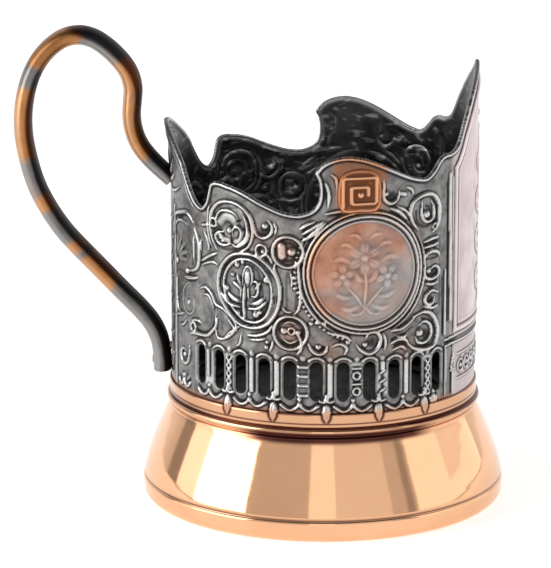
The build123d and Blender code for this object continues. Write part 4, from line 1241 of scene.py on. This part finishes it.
# nothing of the strap goes inside the wall
rr = np.hypot(verts[..., 0], verts[..., 1])
short = rr < R_OUT + 0.02
verts[..., 0] = np.where(short, -np.sqrt(np.maximum((R_OUT + 0.02) ** 2 - verts[..., 1] ** 2, 0)), verts[..., 0])
i, j = np.meshgrid(np.arange(n_s), np.arange(n_p - 1))
i2 = (i + 1) % n_s
quads = np.stack([j * n_s + i, (j + 1) * n_s + i, (j + 1) * n_s + i2, j * n_s + i2], -1).reshape(-1, 4)
cap0 = np.arange(n_s)[None, :]
cap1 = ((n_p - 1) * n_s + np.arange(n_s)[::-1])[None, :]
# painted shade on the side turned to the glass and upwards, and a painted highlight on the grip side; reach shifts
# where the painted shade begins along the strap
nx = out_dir[:, 0][:, None] * sec_n[None, :, 0]
nz = out_dir[:, 1][:, None] * sec_n[None, :, 0]
reach = np.interp(along, [0, 10, 22, 28, 33, 40, 45, 60, 78, 100, 113, 117, 121, 125, 129, 132, 135, 140],
                  [0.12, 0.14, 0.16, 0.0, -0.2, -0.22, 0.1, 0.14, 0.26, 0.28, 0.3, 0.42, 0.42, 0.28, 0.12, -0.02, 0.12, 0.12])
shadow = step01(0.8 * nx + 0.5 * nz - reach[:, None], 0.0, 0.4)
# more painted shade and less painted highlight over the turn 43 to 57 mm along the strap
shadow = np.maximum(shadow, 0.3 * np.interp(along, [43, 47, 53, 57], [0, 1, 1, 0])[:, None])
lit_side_highlight = step01(-0.8 * nx - 0.45 * nz, -0.1, 0.5) * np.interp(along, [0, 40, 44, 48, 54, 59, 63], [1, 1, 0.5, 0.15, 0.2, 0.7, 1])[:, None]
# stretches of the strap, in mm from the upper joint, where the copper shows
bare = np.zeros(n_p)
for a, b in ((8, 31), (42, 55), (60, 76.5), (86.2, 89.2), (98.2, 101.6), (103.0, 113)):
    bare = np.maximum(bare, step01(along, a - 1.7, a + 1.7) * step01(b + 1.7 - along, 0, 3.4))
# the painted shade and the painted highlight go to the strap as attributes, beside the bare copper stretches
handle = make_mesh("handle_strap", verts.reshape(-1, 3), [quads, cap0, cap1],
                   {"patina_and_shade": shadow.ravel(), "ridge": lit_side_highlight.ravel(), "bare": np.repeat(bare, n_s)})


# ======================================================================== materials
class Nodes:
    def __init__(self, name):
        self.mat = bpy.data.materials.new(name)
        self.mat.use_nodes = True
        self.t = self.mat.node_tree
        self.t.nodes.clear()
        self.out = self.t.nodes.new("ShaderNodeOutputMaterial")
        self.bsdf = self.t.nodes.new("ShaderNodeBsdfPrincipled")
        self.t.links.new(self.bsdf.outputs[0], self.out.inputs[0])
        self.co = self.t.nodes.new("ShaderNodeTexCoord").outputs["Object"]

    def link(self, a, b):
        self.t.links.new(a, b)

    def put(self, socket, value):
        if hasattr(value, "links"):
            self.link(value, socket)
        else:
            socket.default_value = value

    def attr(self, name):
        n = self.t.nodes.new("ShaderNodeAttribute")
        n.attribute_name = name
        return n.outputs["Fac"]

    def noise(self, scale, detail=3.0, rough=0.55, stretch=None):
        n = self.t.nodes.new("ShaderNodeTexNoise")
        n.inputs["Scale"].default_value = scale
        n.inputs["Detail"].default_value = detail
        n.inputs["Roughness"].default_value = rough
        co = self.co
        if stretch:
            m = self.t.nodes.new("ShaderNodeMapping")
            m.inputs["Scale"].default_value = stretch
            self.link(co, m.inputs["Vector"])
            co = m.outputs[0]
        self.link(co, n.inputs["Vector"])
        return n.outputs["Fac"]

    def math(self, op, a, b=0.0, clamp=False):
        n = self.t.nodes.new("ShaderNodeMath")
        n.operation = op
        n.use_clamp = clamp
        self.put(n.inputs[0], a)
        self.put(n.inputs[1], b)
        return n.outputs[0]

    def span(self, x, a, b, c, d):
        n = self.t.nodes.new("ShaderNodeMapRange")
        self.put(n.inputs["Value"], x)
        for key, val in zip(("From Min", "From Max", "To Min", "To Max"), (a, b, c, d)):
            n.inputs[key].default_value = val
        return n.outputs["Result"]

    def mix(self, fac, a, b):
        n = self.t.nodes.new("ShaderNodeMix")
        n.data_type = "RGBA"
        self.put(n.inputs["Factor"], fac)
        for sock, val in ((n.inputs[6], a), (n.inputs[7], b)):
            if hasattr(val, "links"):
                self.link(val, sock)
            else:
                sock.default_value = (*val, 1.0)
        return n.outputs[2]

    def bump(self, height, strength, distance, normal=None):
        n = self.t.nodes.new("ShaderNodeBump")
        n.inputs["Strength"].default_value = strength
        n.inputs["Distance"].default_value = distance
        self.link(height, n.inputs["Height"])
        if normal is not None:
            self.link(normal, n.inputs["Normal"])
        return n.outputs[0]

    def set(self, **kw):
        for key, val in kw.items():
            self.put(self.bsdf.inputs[key.replace("_", " ")], val)


def silver_metal():
    m = Nodes("antique_silver")
    patina_and_shade, ridge, inside = m.attr("patina_and_shade"), m.attr("ridge"), m.attr("inside")
    warm, pale = m.attr("warm"), m.attr("pale")
    blotch = m.noise(260, 4)
    fine = m.noise(1500, 3)
    matte = m.noise(620, 2, 0.5)
    tone = m.math("ADD", m.math("MULTIPLY", blotch, 0.5), m.math("MULTIPLY", matte, 0.5))
    ground = m.mix(m.span(tone, 0.36, 0.62, 0, 1), (0.10, 0.098, 0.096), (0.27, 0.264, 0.258))
    ground = m.mix(m.math("MULTIPLY", warm, m.span(blotch, 0.35, 0.65, 0.6, 1.0)), ground, (0.38, 0.15, 0.07))
    ground = m.mix(pale, ground, (0.53, 0.452, 0.457))
    bright = m.mix(warm, (0.64, 0.635, 0.625), (0.62, 0.34, 0.20))
    col = m.mix(m.math("MULTIPLY", ridge, m.span(fine, 0.3, 0.6, 0.75, 1.0)), ground, bright)
    dark = m.math("MULTIPLY", patina_and_shade, m.span(blotch, 0.25, 0.6, 0.85, 1.0), True)
    col = m.mix(dark, col, (0.02, 0.018, 0.018))
    # inside: dark patina, with painted light growing towards the handle, painted glints and relief highlights, and a
    # painted highlight along the rim
    back = m.mix(m.span(blotch, 0.35, 0.7, 0, 1), (0.021, 0.0207, 0.0207), (0.05, 0.0492, 0.0485))
    inside_painted_light = m.attr("inside_painted_light")
    back = m.mix(inside_painted_light, back, m.mix(m.span(blotch, 0.35, 0.7, 0, 1), (0.088, 0.0865, 0.0855), (0.155, 0.1525, 0.15)))
    glint_noise = m.noise(330, 1, 0.4, (1.0, 1.0, 2.4))
    back = m.mix(m.math("MULTIPLY", m.span(glint_noise, 0.58, 0.7, 0, 1), m.attr("inside_painted_glints")), back, m.mix(inside_painted_light, (0.25, 0.246, 0.242), (0.6, 0.59, 0.58)))
    back = m.mix(m.math("MULTIPLY", m.math("MULTIPLY", ridge, 0.36), m.attr("inside_painted_glints")), back, m.mix(inside_painted_light, (0.22, 0.216, 0.212), (0.62, 0.61, 0.6)))
    back = m.mix(m.math("MULTIPLY", m.attr("rimlit"), 0.8), back, (0.46, 0.455, 0.45))
    col = m.mix(m.math("MULTIPLY", inside, 1.0, True), col, back)
    rough = m.math("ADD", m.span(blotch, 0.3, 0.7, 0.3, 0.42), m.math("MULTIPLY", patina_and_shade, 0.28), True)
    rough = m.math("SUBTRACT", rough, m.math("MULTIPLY", ridge, 0.08), True)
    m.set(Base_Color=col, Roughness=rough, Metallic=1.0)
    m.set(Normal=m.bump(fine, 0.12, 0.00006))
    return m.mat


def trim_copper():
    m = Nodes("trim_copper")
    patina_and_shade, ridge, silver, deep = m.attr("patina_and_shade"), m.attr("ridge"), m.attr("silver"), m.attr("deep")
    blotch = m.noise(230, 3)
    patch = m.noise(120, 2)
    fine = m.noise(1600, 3)
    grey = m.math("ADD", silver, m.span(patch, 0.3, 0.7, -0.5, 0.5), True)
    copper = m.mix(m.span(blotch, 0.3, 0.7, 0, 1), (0.33, 0.14, 0.085), (0.535, 0.28, 0.195))
    ground = m.mix(grey, copper, m.mix(m.span(blotch, 0.3, 0.7, 0, 1), (0.245, 0.232, 0.224), (0.385, 0.362, 0.35)))
    bright = m.mix(grey, (0.80, 0.52, 0.36), (0.70, 0.65, 0.63))
    col = m.mix(m.math("MULTIPLY", ridge, 0.85), ground, bright)
    col = m.mix(m.math("MULTIPLY", deep, 0.8), col, m.mix(ridge, (0.47, 0.16, 0.055), (0.74, 0.37, 0.2)))
    col = m.mix(m.math("MULTIPLY", patina_and_shade, m.span(deep, 0, 1, 0.92, 0.72)), col, (0.04, 0.018, 0.012))
    rough = m.math("ADD", m.span(blotch, 0.3, 0.7, 0.3, 0.42), m.math("MULTIPLY", patina_and_shade, 0.22), True)
    m.set(Base_Color=col, Roughness=rough, Metallic=1.0)
    m.set(Normal=m.bump(fine, 0.1, 0.00005))
    return m.mat


def plaque_metal():
    m = Nodes("pale_plaque")
    patina_and_shade, ridge = m.attr("patina_and_shade"), m.attr("ridge")
    blotch = m.noise(150, 4)
    brush = m.noise(420, 4, 0.6, (1.0, 1.0, 0.12))
    ground = m.mix(m.span(blotch, 0.3, 0.7, 0, 1), (0.53, 0.422, 0.428), (0.69, 0.587, 0.595))
    col = m.mix(m.math("MULTIPLY", ridge, 0.8), ground, (0.845, 0.778, 0.775))
    col = m.mix(m.math("MULTIPLY", patina_and_shade, 0.85), col, (0.10, 0.06, 0.055))
    rough = m.math("ADD", m.span(brush, 0.3, 0.7, 0.24, 0.36), m.math("MULTIPLY", patina_and_shade, 0.25), True)
    m.set(Base_Color=col, Roughness=rough, Metallic=1.0)
    m.set(Normal=m.bump(brush, 0.1, 0.00004))
    return m.mat


def foot_copper():
    m = Nodes("polished_copper")
    patina_and_shade, under = m.attr("patina_and_shade"), m.attr("under")
    blotch = m.noise(60, 4)
    lathe = m.noise(900, 2, 0.5, (0.02, 0.02, 1.6))
    dust = m.noise(2400, 2)
    ground = m.mix(m.span(blotch, 0.3, 0.7, 0, 1), (0.83, 0.455, 0.255), (0.88, 0.50, 0.29))
    # the dark mix holds the crease and joint lines, and the painted shade, painted pendant shadows and painted dark
    # reflection at the collar
    col = m.mix(m.math("MULTIPLY", patina_and_shade, 0.96), ground, (0.06, 0.01, 0.012))
    col = m.mix(m.math("MULTIPLY", under, 0.75), col, (0.20, 0.11, 0.07))
    rough = m.span(lathe, 0.3, 0.7, 0.05, 0.085)
    rough = m.math("ADD", rough, m.math("MULTIPLY", under, 0.25), True)
    rough = m.math("ADD", rough, m.math("MULTIPLY", patina_and_shade, 0.2), True)
    rough = m.math("ADD", rough, m.span(dust, 0.55, 0.8, 0.0, 0.03), True)
    m.set(Base_Color=col, Roughness=rough, Metallic=1.0)
    m.set(Normal=m.bump(lathe, 0.04, 0.00002))
    return m.mat


def handle_copper():
    m = Nodes("handle_copper")
    patina_and_shade, ridge = m.attr("patina_and_shade"), m.attr("ridge")
    patch = m.noise(62, 2, 0.5)
    blotch = m.noise(260, 4)
    fine = m.noise(1300, 3)
    bare = m.math("ADD", m.attr("bare"), m.span(patch, 0.3, 0.7, -0.3, 0.3))
    bare = m.math("ADD", bare, m.span(m.noise(210, 3, 0.6), 0.3, 0.7, -0.28, 0.28))
    bare = m.span(bare, 0.12, 0.88, 0.0, 1.0)
    copper = m.mix(m.span(blotch, 0.32, 0.68, 0, 1), (0.33, 0.135, 0.045), (0.47, 0.215, 0.085))
    grey = m.mix(m.span(blotch, 0.32, 0.68, 0, 1), (0.11, 0.102, 0.098), (0.21, 0.198, 0.192))
    ground = m.mix(bare, grey, copper)
    # painted highlight on the grip side of the strap, in light copper or grey
    col = m.mix(m.math("MULTIPLY", ridge, 0.75), ground, m.mix(bare, (0.33, 0.318, 0.31), (0.64, 0.345, 0.175)))
    # painted shade on the side turned to the glass and upwards, near black or dark brown
    col = m.mix(m.math("MULTIPLY", patina_and_shade, m.span(patch, 0.3, 0.6, 0.9, 0.99)), col, m.mix(bare, (0.016, 0.015, 0.015), (0.065, 0.017, 0.006)))
    rough = m.math("ADD", m.span(blotch, 0.3, 0.7, 0.26, 0.4), m.math("MULTIPLY", patina_and_shade, 0.2), True)
    m.set(Base_Color=col, Roughness=rough, Metallic=1.0)
    m.set(Normal=m.bump(fine, 0.1, 0.00006))
    return m.mat


def plain_metal(name, low, high, rough0, rough1, scale=220):
    m = Nodes(name)
    blotch = m.noise(scale, 4)
    lathe = m.noise(700, 3, 0.5, (1.0, 1.0, 0.2))
    m.set(Base_Color=m.mix(m.span(blotch, 0.3, 0.7, 0, 1), low, high), Metallic=1.0,
          Roughness=m.span(lathe, 0.3, 0.7, rough0, rough1))
    m.set(Normal=m.bump(lathe, 0.1, 0.00004))
    return m.mat


M_SILVER, M_TRIM, M_PLAQUE = silver_metal(), trim_copper(), plaque_metal()
M_FOOT, M_HANDLE = foot_copper(), handle_copper()
M_FLOOR = plain_metal("dull_floor", (0.045, 0.043, 0.042), (0.11, 0.105, 0.10), 0.38, 0.55)
M_RIVET = plain_metal("rivet_metal", (0.30, 0.19, 0.13), (0.52, 0.36, 0.27), 0.3, 0.45)


def wear(ob, mat):
    ob.data.materials.clear()
    ob.data.materials.append(mat)


def add_piece(ob, mat, node=None):
    wear(ob, mat)
    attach(ob, "root")
    if node:
        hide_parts(node)


add_piece(sleeve, M_SILVER, "sleeve")
add_piece(lip, M_SILVER)
add_piece(medals[0], M_TRIM, "medallion_right")
add_piece(medals[1], M_TRIM, "medallion_left")
add_piece(crests[0], M_TRIM, "crest_right")
add_piece(crests[1], M_TRIM, "crest_left")
add_piece(plaque, M_PLAQUE, "front_plaque")
add_piece(foot, M_FOOT, "foot")
add_piece(collar, M_FOOT, "collar_ring")
add_piece(handle, M_HANDLE, "handle")
for node, mat in (("floor_plate", M_FLOOR), ("floor_rivets", M_RIVET), ("handle_rivets", M_RIVET)):
    wear(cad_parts[node], mat)

# ============================================================== floor, light, camera
floor_me = bpy.data.meshes.new("studio_floor")
fw = 4.0
floor_me.from_pydata([(-fw, -fw, 0), (fw, -fw, 0), (fw, fw, 0), (-fw, fw, 0)], [], [(0, 1, 2, 3)])
floor_ob = bpy.data.objects.new("studio_floor", floor_me)
bpy.context.scene.collection.objects.link(floor_ob)
fm = Nodes("pale_floor")
fn = fm.noise(6, 2)
fm.set(Base_Color=fm.mix(fm.span(fn, 0.3, 0.7, 0, 1), (0.90, 0.90, 0.90), (0.93, 0.93, 0.93)), Roughness=0.6)
fm.bsdf.inputs["Specular IOR Level"].default_value = 0.2
fm.bsdf.inputs["Emission Color"].default_value = (1.0, 1.0, 1.0, 1.0)
fm.bsdf.inputs["Emission Strength"].default_value = 0.56
wear(floor_ob, fm.mat)

world = bpy.data.worlds.new("studio")
bpy.context.scene.world = world
world.use_nodes = True
bg = world.node_tree.nodes.get("Background")
bg.inputs["Color"].default_value = (1.0, 1.0, 1.0, 1.0)
# a room with pale walls, a dim ceiling and a dark gap beside each light panel
wt = world.node_tree


def wmath(op, a, b=0.0):
    n = wt.nodes.new("ShaderNodeMath")
    n.operation = op
    for sock, val in zip(n.inputs, (a, b)):
        if hasattr(val, "links"):
            wt.links.new(val, sock)
        else:
            sock.default_value = val
    return n.outputs[0]


def wspan(x, a, b, c, d):
    n = wt.nodes.new("ShaderNodeMapRange")
    n.interpolation_type = "SMOOTHSTEP"
    wt.links.new(x, n.inputs["Value"])
    for key, val in zip(("From Min", "From Max", "To Min", "To Max"), (a, b, c, d)):
        n.inputs[key].default_value = val
    return n.outputs["Result"]


sky_co = wt.nodes.new("ShaderNodeTexCoord")
sky = wt.nodes.new("ShaderNodeSeparateXYZ")
wt.links.new(sky_co.outputs["Generated"], sky.inputs[0])
flat_len = wmath("SQRT", wmath("ADD", wmath("MULTIPLY", sky.outputs["X"], sky.outputs["X"]),
                               wmath("MULTIPLY", sky.outputs["Y"], sky.outputs["Y"])))


def gap(az, half):
    """1 in a narrow upright band of the surroundings, 0 elsewhere."""
    c = wmath("ADD", wmath("MULTIPLY", sky.outputs["X"], math.sin(az * DEG)), wmath("MULTIPLY", sky.outputs["Y"], -math.cos(az * DEG)))
    return wspan(wmath("DIVIDE", c, flat_len), math.cos((half + 2.5) * DEG), math.cos(half * DEG), 0.0, 1.0)


sky_level = wspan(sky.outputs["Z"], 0.55, 0.88, 0.68, 0.12)
sky_level = wmath("ADD", sky_level, wspan(sky.outputs["Y"], 0.45, 0.75, 0.0, 0.25))
for az, half, depth in ((-114, 4.6, 0.46), (58, 1.2, 0.42)):
    sky_level = wmath("MULTIPLY", sky_level, wmath("SUBTRACT", 1.0, wmath("MULTIPLY", gap(az, half), depth)))
wt.links.new(sky_level, bg.inputs["Strength"])


def panel(name, az0, az1, z0, z1, glow, dist=1.2, colour=(1, 1, 1)):
    """Upright light panel between two azimuths (0 is the camera's side, + to its right); glow is its radiance."""
    az, half = (az0 + az1) / 2 * DEG, abs(az1 - az0) / 2 * DEG
    li = bpy.data.lights.new(name, "AREA")
    li.shape = "RECTANGLE"
    li.size, li.size_y = 2 * dist * math.tan(half), z1 - z0
    li.energy = glow * math.pi * li.size * li.size_y
    li.color = colour
    ob = bpy.data.objects.new(name, li)
    ob.location = (dist * math.sin(az), -dist * math.cos(az), (z0 + z1) / 2)
    ob.rotation_euler = Vector((-math.sin(az), math.cos(az), 0.0)).to_track_quat("-Z", "Y").to_euler()
    bpy.context.scene.collection.objects.link(ob)
    return ob


panel("key_left", -88, -48.6, 0.02, 1.05, 3.1)
panel("key_left_edge", -106, -88, 0.02, 1.05, 1.0)
panel("strip_front", -8.5, 8.5, 0.02, 1.1, 0.58)
panel("fill_front", 9, 44, 0.02, 1.1, 0.24)
panel("fill_right", 62, 90, 0.02, 1.0, 0.72)
panel("fill_right_low", 90, 127, 0.02, 0.2, 0.72)
panel("fill_right_high", 90, 127, 0.2, 1.0, 0.4)

cam_data = bpy.data.cameras.new("camera")
cam = bpy.data.objects.new("camera", cam_data)
bpy.context.scene.collection.objects.link(cam)
EL, DIST = 14.073 * DEG, 835.8
cam.location = Vector((0, -DIST * math.cos(EL), 50 + DIST * math.sin(EL))) * MM
target = Vector((-10.94, 0.0, 48.93)) * MM
cam.rotation_euler = (target - cam.location).to_track_quat("-Z", "Y").to_euler()
cam_data.sensor_fit = "AUTO"
cam_data.sensor_width = 36.0
cam_data.lens = 3648.8 / 568.0 * 36.0
cam_data.clip_start, cam_data.clip_end = 0.01, 20.0
bpy.context.scene.camera = cam
vs = bpy.context.scene.view_settings
vs.view_transform = "Standard"
vs.look = "None"
vs.exposure = 0.0
